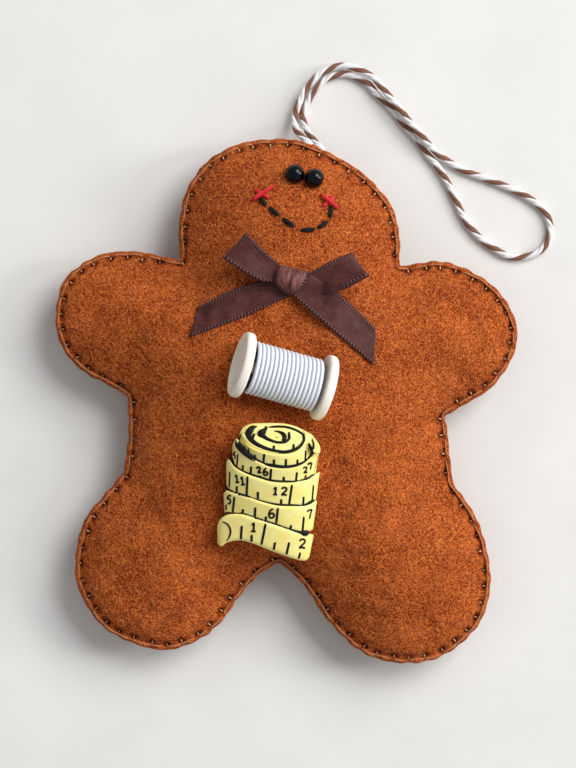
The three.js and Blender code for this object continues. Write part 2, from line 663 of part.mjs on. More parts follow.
const beadRest = beadDiameter / 2 + clearance;
const beadLine = new THREE.Vector3(Math.cos(radians(beadTurn)), Math.sin(radians(beadTurn)), 0);
const slope = frontNormal(...beadPair);
const pairCentre = new THREE.Vector3(beadPair[0], beadPair[1],
  frontAt(beadPair[0] - slope.x * beadRest, beadPair[1] - slope.y * beadRest) + slope.z * beadRest);
beadLine.addScaledVector(slope, -beadLine.dot(slope)).normalize();
const beadCentres = [-0.5, 0.5].map((s) => pairCentre.clone().addScaledVector(beadLine, s * beadSpacing));

function bead() {
  const [ball, bore] = [beadDiameter / 2, beadBore / 2];
  const mouth = Math.asin(bore / ball);
  const profile = [];
  for (let k = 0; k <= beadBands; k++) {
    const turn = mouth + (Math.PI - 2 * mouth) * k / beadBands;
    profile.push(new THREE.Vector2(ball * Math.sin(turn), -ball * Math.cos(turn)));
  }
  profile.push(profile[0].clone());
  const up = new THREE.Vector3(0, 1, 0);
  return closed(new THREE.LatheGeometry(profile, beadSides).applyQuaternion(
    new THREE.Quaternion().setFromUnitVectors(up, beadLine)));
}

['left_eye_bead', 'right_eye_bead'].forEach((name, i) => {
  place(ornament, name, bead().translate(...beadCentres[i]), blackGlaze());
});

function beadThreadRoute(centre, side) {
  const along = (reach) => centre.clone().addScaledVector(beadLine, side * reach);
  const foot = along(beadDiameter / 2 + beadThreadReach);
  foot.z = frontAt(foot.x, foot.y) + clearance + beadThread / 2;
  return [foot, along(beadDiameter / 2 + beadThread), along(beadDiameter / 4)].map((p) => p.toArray());
}

place(ornament, 'eye_thread', tube(
  [...beadThreadRoute(beadCentres[0], -1), ...beadThreadRoute(beadCentres[1], 1).reverse()],
  beadThread, flossSides, beadThreadSteps), blackFloss());

// Stitches of the smile and the cheeks: short arches of floss on the felt

function stitch(from, to, arch) {
  const route = [0, 0.25, 0.5, 0.75, 1].map((s) => {
    const p = plan(from).lerp(plan(to), s);
    return [p.x, p.y, frontAt(p.x, p.y) + clearance + floss / 2 + arch * Math.sin(Math.PI * s)];
  });
  return tube(route, floss, flossSides, stitchSteps);
}

const smileCurve = curveThrough(smile);
const smilePitch = (smileCurve.getLength() + smileGap) / smileStitches;
for (let i = 0; i < smileStitches; i++) {
  const along = (reach) => smileCurve.getPointAt(Math.min(1, reach / smileCurve.getLength())).toArray();
  const start = i * smilePitch;
  place(ornament, `smile_stitch_${i + 1}`,
    stitch(along(start), along(start + smilePitch - smileGap), stitchArch), blackFloss());
}

function cheekStitch({ at }, { turn, length }, arch) {
  const reach = [Math.cos(radians(turn)) * length / 2, Math.sin(radians(turn)) * length / 2];
  return stitch([at[0] - reach[0], at[1] - reach[1]], [at[0] + reach[0], at[1] + reach[1]], arch);
}

Object.entries({ left_cheek: leftCheek, right_cheek: rightCheek }).forEach(([name, cheek]) => {
  place(ornament, `${name}_under_stitch`, cheekStitch(cheek, cheek.under, 0), redFloss());
  place(ornament, `${name}_over_stitch`, cheekStitch(cheek, cheek.over, crossArch), redFloss());
});

// Bow: a knot, two folded loops and two tails of one ribbon, which part from each other at the knot

const knotOutline = (grow) => {
  const half = [knot.halfWidth + grow, knot.halfHeight + grow];
  const shape = new THREE.Shape();
  shape.absellipse(0, 0, half[0], half[1], 0, 2 * Math.PI, false, radians(knot.turn));
  return shape;
};
const knotSeat = Math.max(...knotOutline(0).getPoints(knotSegments).map(
  (p) => frontAt(knot.at[0] + p.x, knot.at[1] + p.y)), frontAt(...knot.at)) + clearance;
const knotBody = new THREE.ExtrudeGeometry(knotOutline(-knotBevel), {
  depth: knot.depth - 2 * knotBevel, bevelSize: knotBevel, bevelThickness: knotBevel,
  bevelSegments: 2, curveSegments: knotSegments,
}).translate(knot.at[0], knot.at[1], knotSeat + knotBevel);
const knotRoom = new THREE.ExtrudeGeometry(knotOutline(clearance), {
  depth: 2 * seamHeight + 2 * frontCrown, bevelEnabled: false, curveSegments: knotSegments,
}).translate(knot.at[0], knot.at[1], 0);

// A strip of ribbon between two edges, along a profile of reach from the knot and height off the felt
function ribbon(edges, profile, steps) {
  const sides = edges.map((edge) => curveThrough(edge));
  const rows = curveThrough(profile).getPoints(steps).map(({ x: reach, y: height }) => {
    const [a, b] = sides.map((side) => {
      const p = side.getPoint(Math.min(Math.max(reach, 0), 1));
      const beyond = side.getTangent(1).multiplyScalar(Math.max(reach - 1, 0) * side.getLength());
      return p.add(beyond);
    });
    return [0, 0.5, 1].map((s) => {
      const p = a.clone().lerp(b, s);
      return p.setZ(frontAt(p.x, p.y) + ribbonClearance + ribbonThickness / 2 + height);
    });
  });
  const rings = rows.map((row, i) => {
    const ahead = rows[Math.min(i + 1, rows.length - 1)][1].clone().sub(rows[Math.max(i - 1, 0)][1]);
    const face = ahead.cross(row[2].clone().sub(row[0])).normalize().multiplyScalar(ribbonThickness / 2);
    return [...row.map((p) => p.clone().add(face)), ...row.map((p) => p.clone().sub(face)).reverse()];
  });
  return cut(loft(rings), knotRoom);
}

place(ornament, 'bow_knot', closed(knotBody), satin());
place(ornament, 'bow_left_loop', ribbon(leftLoopEdges, loopProfile, loopSteps), satin());
place(ornament, 'bow_right_loop', ribbon(rightLoopEdges, loopProfile, loopSteps), satin());
place(ornament, 'bow_left_tail', ribbon(leftTailEdges, tailProfile, tailSteps), satin());
place(ornament, 'bow_right_tail', ribbon(rightTailEdges, tailProfile, tailSteps), satin());

// Spool button

// The reel leans over the middle of its back, where the shank is
const windingRadius = (coreDiameter / 2 + (windingThread / 2 + clearance) / reelRelief)
  / Math.cos(Math.PI / windingSteps);
const reelSlope = radians(reelLean);
const reelSet = new THREE.Matrix4()
  .makeTranslation(windingRadius * Math.sin(reelSlope), 0, reelAxisHeight)
  .multiply(new THREE.Matrix4().makeScale(1, 1, reelRelief))
  .multiply(new THREE.Matrix4().makeRotationY(reelSlope));
const windingFloor = clearance + windingThread / 2;
const coreBack = windingFloor + windingThread / 2 + clearance;

function reel() {
  const [end, rim, core] = [reelLength / 2, reelDiameter / 2, coreDiameter / 2];
  const flange = (side, face) => [
    [0, side * (end - face)], [rim - 2 * reelRim, side * (end - face)], [rim - reelRim, side * end],
    [rim - reelRim / 3, side * (end - reelRim / 8)], [rim, side * (end - reelRim / 2)],
    [rim, side * (end - reelFlange + reelRim / 2)], [rim - reelRim / 2, side * (end - reelFlange)],
    [core, side * (end - reelFlange)],
  ];
  const profile = [...flange(-1, 0), ...flange(1, reelDish).reverse()].map(plan);
  const round = new THREE.LatheGeometry(profile, reelSides).rotateZ(Math.PI / 2).applyMatrix4(reelSet);
  const gap = 2 * (end - reelFlange);
  const recess = new THREE.BoxGeometry(gap, reelDiameter, 2 * coreBack);
  return join(cut(above(round, 0, 4 * reelLength), recess), shank(coreBack + clearance));
}

// One thread wound on the core: across the flat back it parts for the shank
function windingRoute() {
  const reach = reelLength / 2 - reelFlange - windingEndGap;
  const route = [];
  const count = windingTurns * windingSteps;
  for (let k = 0; k <= count; k++) {
    const turn = -Math.PI / 2 + (k / windingSteps) * 2 * Math.PI;
    const along = -reach + 2 * reach * k / count;
    const part = windingSpread * Math.sign(along) * (1 - Math.abs(along) / reach);
    const p = new THREE.Vector3(along + part * Math.max(0, -Math.sin(turn)),
      windingRadius * Math.cos(turn), windingRadius * Math.sin(turn));
    p.applyMatrix4(reelSet);
    p.z = Math.max(p.z, windingFloor);
    route.push(p.toArray());
  }
  const lead = (p, side) => [p[0] + side * (windingEndGap - clearance), p[1], p[2]];
  return [lead(route[0], -1), ...route, lead(route.at(-1), 1)];
}

// Least gap between places on a wound thread that are at least half a turn apart
function leastSelfGap(route, diameter) {
  const points = curveThrough(route).getSpacedPoints(route.length * 2);
  const skip = Math.round(points.length / windingTurns / 2);
  let least = Infinity;
  points.forEach((p, i) => {
    for (let j = i + skip; j < points.length; j++) least = Math.min(least, p.distanceTo(points[j]));
  });
  return least - diameter;
}

const winding = windingRoute();
const windingGap = leastSelfGap(winding, windingThread);
console.log(`least gap between turns of the winding: ${windingGap.toFixed(2)} mm`);
place(spoolPlace, 'spool_reel', reel(), ivory());
place(spoolPlace, 'spool_winding',
  tube(winding, windingThread, windingSides, winding.length), silverThread());
place(spoolPlace, 'spool_sewing_thread', sewingBar(), blackFloss());
ornament.add(spoolPlace);

// Tape button

const at = (p, z) => new THREE.Vector3(p.x, p.y, z);
const tapeTopDepth = (y) => tapeRims.at(-1).depth + tapeTopSlope * (y - tapeTopFront);

function tapeCoil() {
  const levels = tapeRims.slice(1).map((rim, i) => tapeLevel(tapeRims[i], rim, i ? tapeLap : 0));
  const coil = cut(join(...levels, tapeTop(), tapeTurn()), tapeSpiral());
  return join(coil, shank(tapeShankRoot));
}

// One level of tape between two rims, rounded across like the front of a drum
function tapeLevel(low, high, lap) {
  const [foot, head] = [low, high].map((rim) => curveThrough(rim.line).getPoints(tapeColumns));
  return loft(foot.map((p, k) => {
    p.y -= lap;
    const across = Math.abs(2 * k / tapeColumns - 1) ** tapeRound;
    const share = tapeEndDepth + (1 - tapeEndDepth) * Math.sqrt(1 - across);
    return [at(p, 0), at(head[k], 0), at(head[k], high.depth * share), at(p, (low.depth - tapeStep) * share)];
  }));
}

// The sloping top of the coil
function tapeTop() {
  const front = curveThrough(tapeRims.at(-1).line).getPoints(tapeColumns);
  const back = curveThrough(tapeTopBack).getPoints(tapeColumns);
  return loft(front.map((p, k) => {
    p.y -= tapeLap;
    return [at(p, 0), at(back[k], 0), at(back[k], tapeTopDepth(back[k].y)), at(p, tapeTopDepth(p.y))];
  }));
}

// The side of the outermost turn at the right of the top
function tapeTurn() {
  const [far, near] = tapeShoulderDepths;
  return loft(tapeShoulder.map((pair, k) => {
    const depth = THREE.MathUtils.lerp(far, near, k / (tapeShoulder.length - 1));
    const [inner, outer] = pair.map(plan);
    return [at(inner, 0), at(outer, 0), at(outer, depth), at(inner, depth)];
  }));
}

// The dark groove between the turns of tape on top, a band between two spirals laid on the slope
function tapeSpiral() {
  const [outer, inner] = tapeGrooveRadii;
  const [x, y] = tapeGrooveCentre;
  const side = (shift) => Array.from({ length: tapeGrooveSteps + 1 }, (_, k) => {
    const share = k / tapeGrooveSteps;
    const radius = outer + (inner - outer) * share + shift;
    const turn = share * tapeGrooveTurns * 2 * Math.PI + Math.PI;
    return plan([radius * Math.cos(turn), radius * Math.sin(turn)]);
  });
  const band = new THREE.Shape([...side(0), ...side(-tapeGroove).reverse()]);
  const trench = new THREE.ExtrudeGeometry(band, { depth: 2 * tapeGrooveDepth, bevelEnabled: false });
  const laid = new THREE.Matrix4().set(
    1, 0, 0, x,
    0, tapeGrooveSquash, 0, y,
    0, tapeGrooveSquash * tapeTopSlope, 1, tapeTopDepth(y) - tapeGrooveDepth,
    0, 0, 0, 1);
  return trench.applyMatrix4(laid);
}

place(tapePlace, 'tape_coil', tapeCoil(), tapeYellow());
place(tapePlace, 'tape_sewing_thread', sewingBar(), blackFloss());
ornament.add(tapePlace);

export default ornament;
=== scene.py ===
import bpy
import numpy as np
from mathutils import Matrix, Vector
from mathutils.geometry import delaunay_2d_cdt


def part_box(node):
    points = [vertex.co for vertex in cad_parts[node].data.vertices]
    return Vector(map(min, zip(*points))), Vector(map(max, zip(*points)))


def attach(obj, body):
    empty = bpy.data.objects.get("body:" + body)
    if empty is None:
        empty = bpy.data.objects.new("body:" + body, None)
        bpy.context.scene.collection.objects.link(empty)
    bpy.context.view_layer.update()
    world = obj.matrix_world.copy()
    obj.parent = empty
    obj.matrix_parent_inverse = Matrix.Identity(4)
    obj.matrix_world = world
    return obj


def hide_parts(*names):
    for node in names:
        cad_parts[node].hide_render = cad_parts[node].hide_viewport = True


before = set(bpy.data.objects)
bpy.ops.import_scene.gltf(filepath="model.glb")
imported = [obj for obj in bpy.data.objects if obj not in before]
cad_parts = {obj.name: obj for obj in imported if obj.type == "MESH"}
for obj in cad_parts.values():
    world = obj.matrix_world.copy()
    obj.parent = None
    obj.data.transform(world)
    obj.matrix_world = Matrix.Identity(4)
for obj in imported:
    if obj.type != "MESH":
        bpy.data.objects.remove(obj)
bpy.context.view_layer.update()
scene = bpy.context.scene
mm = 0.001
chance = np.random.default_rng(11)   # one seeded source for every small irregularity
print("frame:", len(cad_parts), "nodes")


# Camera straight above the table, as far off as the photograph's perspective suggests
camera = {"over": (0.34, 3.42), "height": 457.0, "frameHeight": 153.6, "frameAt": 450.0, "film": 36.0,
          "dots": (576, 768), "clip": (0.01, 10.0)}

lens = bpy.data.cameras.new("camera")
lens.sensor_fit = "VERTICAL"
lens.sensor_height = camera["film"]
lens.lens = camera["film"] * camera["frameAt"] / camera["frameHeight"]
lens.clip_start, lens.clip_end = camera["clip"]
eye = bpy.data.objects.new("camera", lens)
eye.location = (camera["over"][0] * mm, camera["over"][1] * mm, camera["height"] * mm)
scene.collection.objects.link(eye)
scene.camera = eye
print("camera set")


# Small tools: curves, grids, tubes, meshes and node trees

# Distance from the start to each point of a line, or of every line in a stack: the running sum of its steps
def lengthAlong(lines):
    step = np.linalg.norm(np.diff(lines, axis=-2), axis=-1)
    return np.concatenate([np.zeros_like(step[..., :1]), np.cumsum(step, axis=-1)], axis=-1)


# Evenly spaced points on a broken line, measured along its length
def evenly(line, count):
    reach = lengthAlong(line)
    want = np.linspace(0.0, reach[-1], count)
    return np.stack([np.interp(want, reach, line[:, k]) for k in range(line.shape[1])], axis=1)


# Smooth curve through corners: cubic pieces whose end slopes weigh the neighbours by root distance
def smoothLine(corners, count, fine=32):
    p = np.asarray(corners, float)
    q = np.vstack([2 * p[0] - p[1], p, 2 * p[-1] - p[-2]])
    step = np.maximum(np.linalg.norm(np.diff(q, axis=0), axis=1) ** 0.5, 1e-6)[:, None]
    a, b, c, d = q[:-3], q[1:-2], q[2:-1], q[3:]
    d0, d1, d2 = step[:-2], step[1:-1], step[2:]
    m1 = ((b - a) / d0 - (c - a) / (d0 + d1) + (c - b) / d1) * d1
    m2 = ((c - b) / d1 - (d - b) / (d1 + d2) + (d - c) / d2) * d1
    t = np.linspace(0.0, 1.0, fine, endpoint=False)[:, None, None]
    curve = ((2 * t**3 - 3 * t**2 + 1) * b + (t**3 - 2 * t**2 + t) * m1
             + (3 * t**2 - 2 * t**3) * c + (t**3 - t**2) * m2)
    curve = np.vstack([curve.transpose(1, 0, 2).reshape(-1, p.shape[1]), p[-1:]])
    return evenly(curve, count)


# Each vector at length one: itself over its own length
def unit(v):
    return v / np.maximum(np.linalg.norm(v, axis=-1, keepdims=True), 1e-9)


# Smooth step from 0 at one value to 1 at another: three squares less two cubes
def between(low, high, x):
    t = np.clip((x - low) / (high - low), 0.0, 1.0)
    return t * t * (3 - 2 * t)


# The lesser of two heights, with the corner between them rounded off
def softMin(a, b, width):
    t = np.clip(0.5 + 0.5 * (b - a) / width, 0.0, 1.0)
    return b + (a - b) * t - width * t * (1 - t)


# Corner numbers of the squares between the points of a grid, with either way round closed on demand
def gridFaces(rows, cols, loopRows=False, loopCols=False):
    r, c = np.meshgrid(np.arange(rows if loopRows else rows - 1),
                       np.arange(cols if loopCols else cols - 1), indexing="ij")
    r1, c1 = (r + 1) % rows, (c + 1) % cols
    return np.stack([r * cols + c, r * cols + c1, r1 * cols + c1, r1 * cols + c], -1).reshape(-1, 4)


# Flat lids on the first and the last ring of a tube: fans of triangles from each ring's first point
def lids(rings, sides):
    fan = np.stack([np.zeros(sides - 2, int), np.arange(1, sides - 1), np.arange(2, sides)], -1)
    return np.vstack([fan[:, ::-1], fan + (rings - 1) * sides])


# Tubes: a circle of sides carried along each path, turned to stay square to it, with closed ends.
# Every point also keeps its angle as cosine and sine and its distance along, for patterns that follow the thread
def sweep(paths, radius, sides, across=(0.0, 0.0, 1.0), squash=1.0):
    paths = np.asarray(paths, float)
    count, steps, _ = paths.shape
    ahead = unit(np.gradient(paths, axis=1))
    across = np.asarray(across, float)
    across = np.broadcast_to(across if across.ndim == 3 else across.reshape(-1, 1, 3), paths.shape)
    up = unit(across - ahead * np.sum(across * ahead, -1, keepdims=True))
    side = np.cross(up, ahead)
    turn = np.linspace(0.0, 2 * np.pi, sides, endpoint=False)
    radius = np.broadcast_to(np.asarray(radius, float), (count, steps))[:, :, None, None]
    ring = np.cos(turn)[:, None] * side[:, :, None, :] + squash * np.sin(turn)[:, None] * up[:, :, None, :]
    base = (np.arange(count) * steps * sides)[:, None, None]
    lay = np.stack(np.broadcast_arrays(np.cos(turn), np.sin(turn), lengthAlong(paths)[:, :, None]), -1)
    return {"points": (paths[:, :, None, :] + radius * ring).reshape(-1, 3), "lay": lay.reshape(-1, 3),
            "quads": (gridFaces(steps, sides, loopCols=True)[None] + base).reshape(-1, 4),
            "tris": (lids(steps, sides)[None] + base).reshape(-1, 3)}


# Thin solid between two sheets of one grid: the lower sheet, the upper one turned over, and a strip round the rim
def closedSheet(lower, upper):
    rows, cols, _ = lower.shape
    count = rows * cols
    number = np.arange(count).reshape(rows, cols)
    rim = np.concatenate([number[0], number[1:, -1], number[-1, -2::-1], number[-2:0:-1, 0]])
    after = np.roll(rim, -1)
    faces = gridFaces(rows, cols)
    strip = np.stack([after, rim, rim + count, after + count], -1)
    return {"points": np.vstack([lower.reshape(-1, 3), upper.reshape(-1, 3)]),
            "quads": np.vstack([faces, faces[:, ::-1] + count, strip])}


# Several shapes as one, each with its own number for a choice of finish
def together(*shapes):
    start = np.cumsum([0] + [len(s["points"]) for s in shapes])
    out = {"points": np.vstack([s["points"] for s in shapes])}
    for key, width in (("quads", 4), ("tris", 3)):
        out[key] = np.vstack([s.get(key, np.zeros((0, width), int)) + start[i] for i, s in enumerate(shapes)])
    if all("lay" in s for s in shapes):
        out["lay"] = np.vstack([s["lay"] for s in shapes])
    out["finish"] = np.concatenate(
        [np.full(len(s.get("quads", ())), i) for i, s in enumerate(shapes)]
        + [np.full(len(s.get("tris", ())), i) for i, s in enumerate(shapes)])
    return out


# A mesh object from whole arrays in millimetres; it sits at the origin with its place in its points
def makePiece(name, shape, body, materials, smooth=True):
    quads = np.asarray(shape.get("quads", np.zeros((0, 4), int)))
    tris = np.asarray(shape.get("tris", np.zeros((0, 3), int)))
    mesh = bpy.data.meshes.new(name)
    mesh.vertices.add(len(shape["points"]))
    mesh.vertices.foreach_set("co", (shape["points"] * mm).astype(np.float32).ravel())
    corners = np.concatenate([quads.ravel(), tris.ravel()]).astype(np.int32)
    mesh.loops.add(len(corners))
    mesh.loops.foreach_set("vertex_index", corners)
    mesh.polygons.add(len(quads) + len(tris))
    mesh.polygons.foreach_set("loop_start", np.concatenate(
        [np.arange(len(quads)) * 4, quads.size + np.arange(len(tris)) * 3]).astype(np.int32))
    mesh.polygons.foreach_set("use_smooth", np.full(len(mesh.polygons), smooth))
    for material in (materials if isinstance(materials, (list, tuple)) else [materials]):
        mesh.materials.append(material)
    if "finish" in shape and len(mesh.materials) > 1:
        mesh.polygons.foreach_set("material_index", shape["finish"].astype(np.int32))
    mesh.update(calc_edges=True)
    # point values kept on the mesh: the lay of threads and ribbons, and the painted shade round the felt's stitch
    # holes
    for key in ("lay", "tint"):
        if key in shape:
            kind = "FLOAT_VECTOR" if shape[key].ndim == 2 else "FLOAT"
            layer = mesh.attributes.new(key, kind, "POINT")
            layer.data.foreach_set("vector" if kind == "FLOAT_VECTOR" else "value",
                                   shape[key].astype(np.float32).ravel())
    piece = bpy.data.objects.new(name, mesh)
    scene.collection.objects.link(piece)
    if body:
        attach(piece, body)
    return piece


# A node with its settings; each input takes a plain value, or the socket that feeds it
def addNode(tree, kind, inputs=None, **settings):
    node = tree.nodes.new(kind)
    for key, value in settings.items():
        setattr(node, key, value)
    for key, value in (inputs or {}).items():
        if isinstance(value, bpy.types.NodeSocket):
            tree.links.new(value, node.inputs[key])
        else:
            node.inputs[key].default_value = value
    return node


# One step of arithmetic on numbers and sockets
def maths(tree, operation, *values, clamp=False):
    inputs = dict(enumerate(values))
    return addNode(tree, "ShaderNodeMath", inputs, operation=operation, use_clamp=clamp).outputs[0]


# A level carried in a straight line from one span to another, and held at both ends
def spanned(tree, level, low, high, first=0.0, last=1.0):
    return addNode(tree, "ShaderNodeMapRange", {0: level, 1: low, 2: high, 3: first, 4: last}).outputs[0]


# Cloudy noise from 0 to 1 with so many lumps to a unit of its place
def noise(tree, place, scale, detail, **more):
    inputs = {"Vector": place, "Scale": scale, "Detail": detail, **more}
    return addNode(tree, "ShaderNodeTexNoise", inputs).outputs[0]


# Object coordinates in millimetres
def placeInMm(tree):
    coords = addNode(tree, "ShaderNodeTexCoord").outputs["Object"]
    return addNode(tree, "ShaderNodeMapping", {"Vector": coords, "Scale": (1 / mm, 1 / mm, 1 / mm)}).outputs[0]


# The three numbers that each point of a thread or ribbon keeps, together and one by one
def layOf(tree):
    lay = addNode(tree, "ShaderNodeAttribute", attribute_name="lay").outputs["Vector"]
    return lay, addNode(tree, "ShaderNodeSeparateXYZ", {0: lay}).outputs


# sRGB written as 0 to 255 turned to the linear colour that the shader takes
def colour(r, g, b):
    c = np.array([r, g, b]) / 255.0
    c = np.where(c <= 0.04045, c / 12.92, ((c + 0.055) / 1.055) ** 2.4)
    return tuple(float(v) for v in c)


# A material with its plain values on the shader's own sockets; the caller links the patterns
def newMaterial(name, finish):
    material = bpy.data.materials.new(name)
    material.use_nodes = True
    shader = material.node_tree.nodes["Principled BSDF"]
    for socket, value in finish.items():
        shader.inputs[socket].default_value = value
    return material, material.node_tree, shader


# Colour of a level: straight blends between stops, of which the two ends come first
def ramp(tree, level, stops):
    node = addNode(tree, "ShaderNodeValToRGB", {"Fac": level})
    band = node.color_ramp
    for k, (at, tone) in enumerate(stops):
        stop = band.elements[k] if k < 2 else band.elements.new(at)
        stop.position = at
        stop.color = (*colour(*tone), 1.0)
    return node.outputs["Color"]


# Base colour from a level by its stops
def paint(tree, shader, level, stops):
    tree.links.new(ramp(tree, level, stops), shader.inputs["Base Color"])


# Fine relief: a level taken as so many millimetres of height on the surface
def bump(tree, shader, level, depth):
    node = addNode(tree, "ShaderNodeBump", {"Height": level, "Distance": depth * mm, "Strength": 1.0})
    tree.links.new(node.outputs[0], shader.inputs["Normal"])


# Plain finish: two near colours that cloud into each other by a noise, which may also stand up as relief
def cloudyMaterial(name, finish, colours, scale, detail, stops=(0.3, 0.7), relief=None, **more):
    material, tree, shader = newMaterial(name, finish)
    level = noise(tree, placeInMm(tree), scale, detail, **more)
    paint(tree, shader, level, zip(stops, colours))
    if relief:
        bump(tree, shader, level, relief)
    return material


# Sine of a thread's twist, from 0 to 1: so many ridges round it, turning once in a pitch along it
def twistWave(tree, ridges, pitch):
    _, (cosine, sine, along) = layOf(tree)
    around = maths(tree, "MULTIPLY", maths(tree, "ARCTAN2", sine, cosine), float(ridges))
    phase = maths(tree, "MULTIPLY_ADD", along, 2 * np.pi * ridges / pitch, around)
    return spanned(tree, maths(tree, "SINE", phase), -1.0, 1.0)


threadLook = {"specular": 0.35, "sheenRoughness": 0.5, "fibre": 3.2, "twistShadeShare": 0.55, "stops": (0.35, 1.0)}


# Cotton or floss: colour broken up by its fibres, ridged by its twist, and painted darker in the grooves of the
# twist as shade and lighter on its ridges as highlight
def threadMaterial(name, thread):
    look = threadLook
    material, tree, shader = newMaterial(name, {
        "Roughness": thread["rough"], "Specular IOR Level": look["specular"],
        "Sheen Weight": thread["sheen"], "Sheen Roughness": look["sheenRoughness"]})
    wave = twistWave(tree, thread["ridges"], thread["pitch"])
    fibres = noise(tree, placeInMm(tree), look["fibre"], 4.0)
    # the twist wave paints shade into the grooves and highlight onto the ridges
    level = maths(tree, "MULTIPLY_ADD", wave, look["twistShadeShare"], fibres)
    paint(tree, shader, level, zip(look["stops"], (thread["dark"], thread["light"])))
    bump(tree, shader, wave, thread["relief"])
    return material


# Hanging twine: two white plies and two thinner brown ones laid round the route in a left-hand twist.
# Each ply has its angle round the route, its own radius and its distance from the middle
twine = {
    "diameter": 1.4, "pitch": 6.1, "steps": 620, "sides": 9,
    "plies": [(-44, 0.4, 0.32), (44, 0.4, 0.32), (150, 0.32, 0.38), (210, 0.32, 0.38)],
    "white": {"dark": (205, 203, 204), "light": (250, 250, 252), "ridges": 5, "pitch": -2.6, "rough": 0.8,
              "relief": 0.05, "sheen": 0.2},
    "brown": {"dark": (58, 30, 20), "light": (158, 106, 82), "ridges": 5, "pitch": -2.6, "rough": 0.8,
              "relief": 0.07, "sheen": 0.2},
    "route": [
        [6.7, 50.75, 6.95], [5.6, 52.2, 5.6], [4.4, 54.1, 3.6], [3.6, 56.1, 1.8], [3.3, 57.7, 0.9],
        [3.6, 59.0, 0.75], [4.4, 60.6, 0.75], [5.2, 62.2, 0.75], [6.6, 63.8, 0.75], [7.7, 65.0, 0.75],
        [9.5, 65.9, 0.75], [12.0, 66.3, 0.75], [13.4, 66.0, 0.75], [15.4, 65.1, 0.75], [16.9, 64.0, 0.75],
        [18.0, 62.6, 0.75], [19.8, 60.9, 0.75], [22.1, 58.4, 0.75], [23.8, 56.2, 0.75], [25.9, 53.8, 0.75],
        [27.5, 51.8, 0.75], [28.5, 50.2, 0.75], [30.4, 47.9, 0.75], [32.5, 44.6, 0.75], [34.2, 41.1, 0.75],
        [36.0, 37.2, 0.75], [38.6, 33.7, 0.75], [41.9, 31.1, 0.75], [45.2, 29.3, 0.75], [48.7, 29.3, 0.75],
        [51.7, 30.6, 0.75], [53.2, 32.9, 0.75], [53.5, 35.5, 0.75], [52.4, 38.4, 0.75], [49.1, 41.2, 0.75],
        [44.9, 43.3, 0.75], [40.7, 45.0, 0.75], [36.5, 46.5, 0.75], [32.7, 48.6, 1.0], [30.4, 50.3, 1.6],
        [28.3, 52.4, 2.15], [26.7, 54.4, 2.2], [24.6, 56.8, 2.2], [22.9, 59.1, 2.2], [20.7, 61.7, 2.15],
        [19.2, 63.6, 1.8], [17.9, 65.2, 1.6], [16.1, 66.4, 1.6], [13.8, 67.4, 1.6], [12.2, 67.8, 1.6],
        [10.7, 67.8, 1.6], [9.0, 67.3, 1.6], [6.8, 66.3, 1.6], [5.4, 64.8, 1.6], [3.9, 63.0, 1.6],
        [3.0, 61.3, 1.6], [2.2, 59.5, 1.6], [1.8, 57.9, 1.7], [1.7, 56.2, 2.3], [1.9, 54.9, 3.6],
        [2.7, 53.5, 5.2], [3.6, 52.4, 6.5], [4.3, 51.7, 7.0],
    ],
    "leadIn": [7.3, 49.95, 7.05], "leadOut": [4.9, 51.1, 7.05],
}


# Centre line of each ply: the route plus a small circle turning left as it goes
def plyLines(route, pitch, offset, phases):
    ahead = unit(np.gradient(route, axis=0))
    up = unit(np.array([0.0, 0.0, 1.0]) - ahead * ahead[:, 2:])
    side = np.cross(up, ahead)
    turn = 2 * np.pi * lengthAlong(route)[None, :] / pitch + np.asarray(phases)[:, None]
    return route + offset * (np.cos(turn)[..., None] * -side + np.sin(turn)[..., None] * up)


whiteCotton = threadMaterial("white cotton", twine["white"])
brownCotton = threadMaterial("brown cotton", twine["brown"])
twineRoute = smoothLine([twine["leadIn"], *twine["route"], twine["leadOut"]], twine["steps"])
twinePlies = [sweep(plyLines(twineRoute, twine["pitch"], offset, [np.radians(angle)]), radius, twine["sides"])
              for angle, radius, offset in twine["plies"]]
twineShape = together(*twinePlies)
twineShape["finish"] = twineShape["finish"] // 2
hangTwine = makePiece("hangTwine", twineShape, "hang_loop", [whiteCotton, brownCotton])
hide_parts("hang_twine")


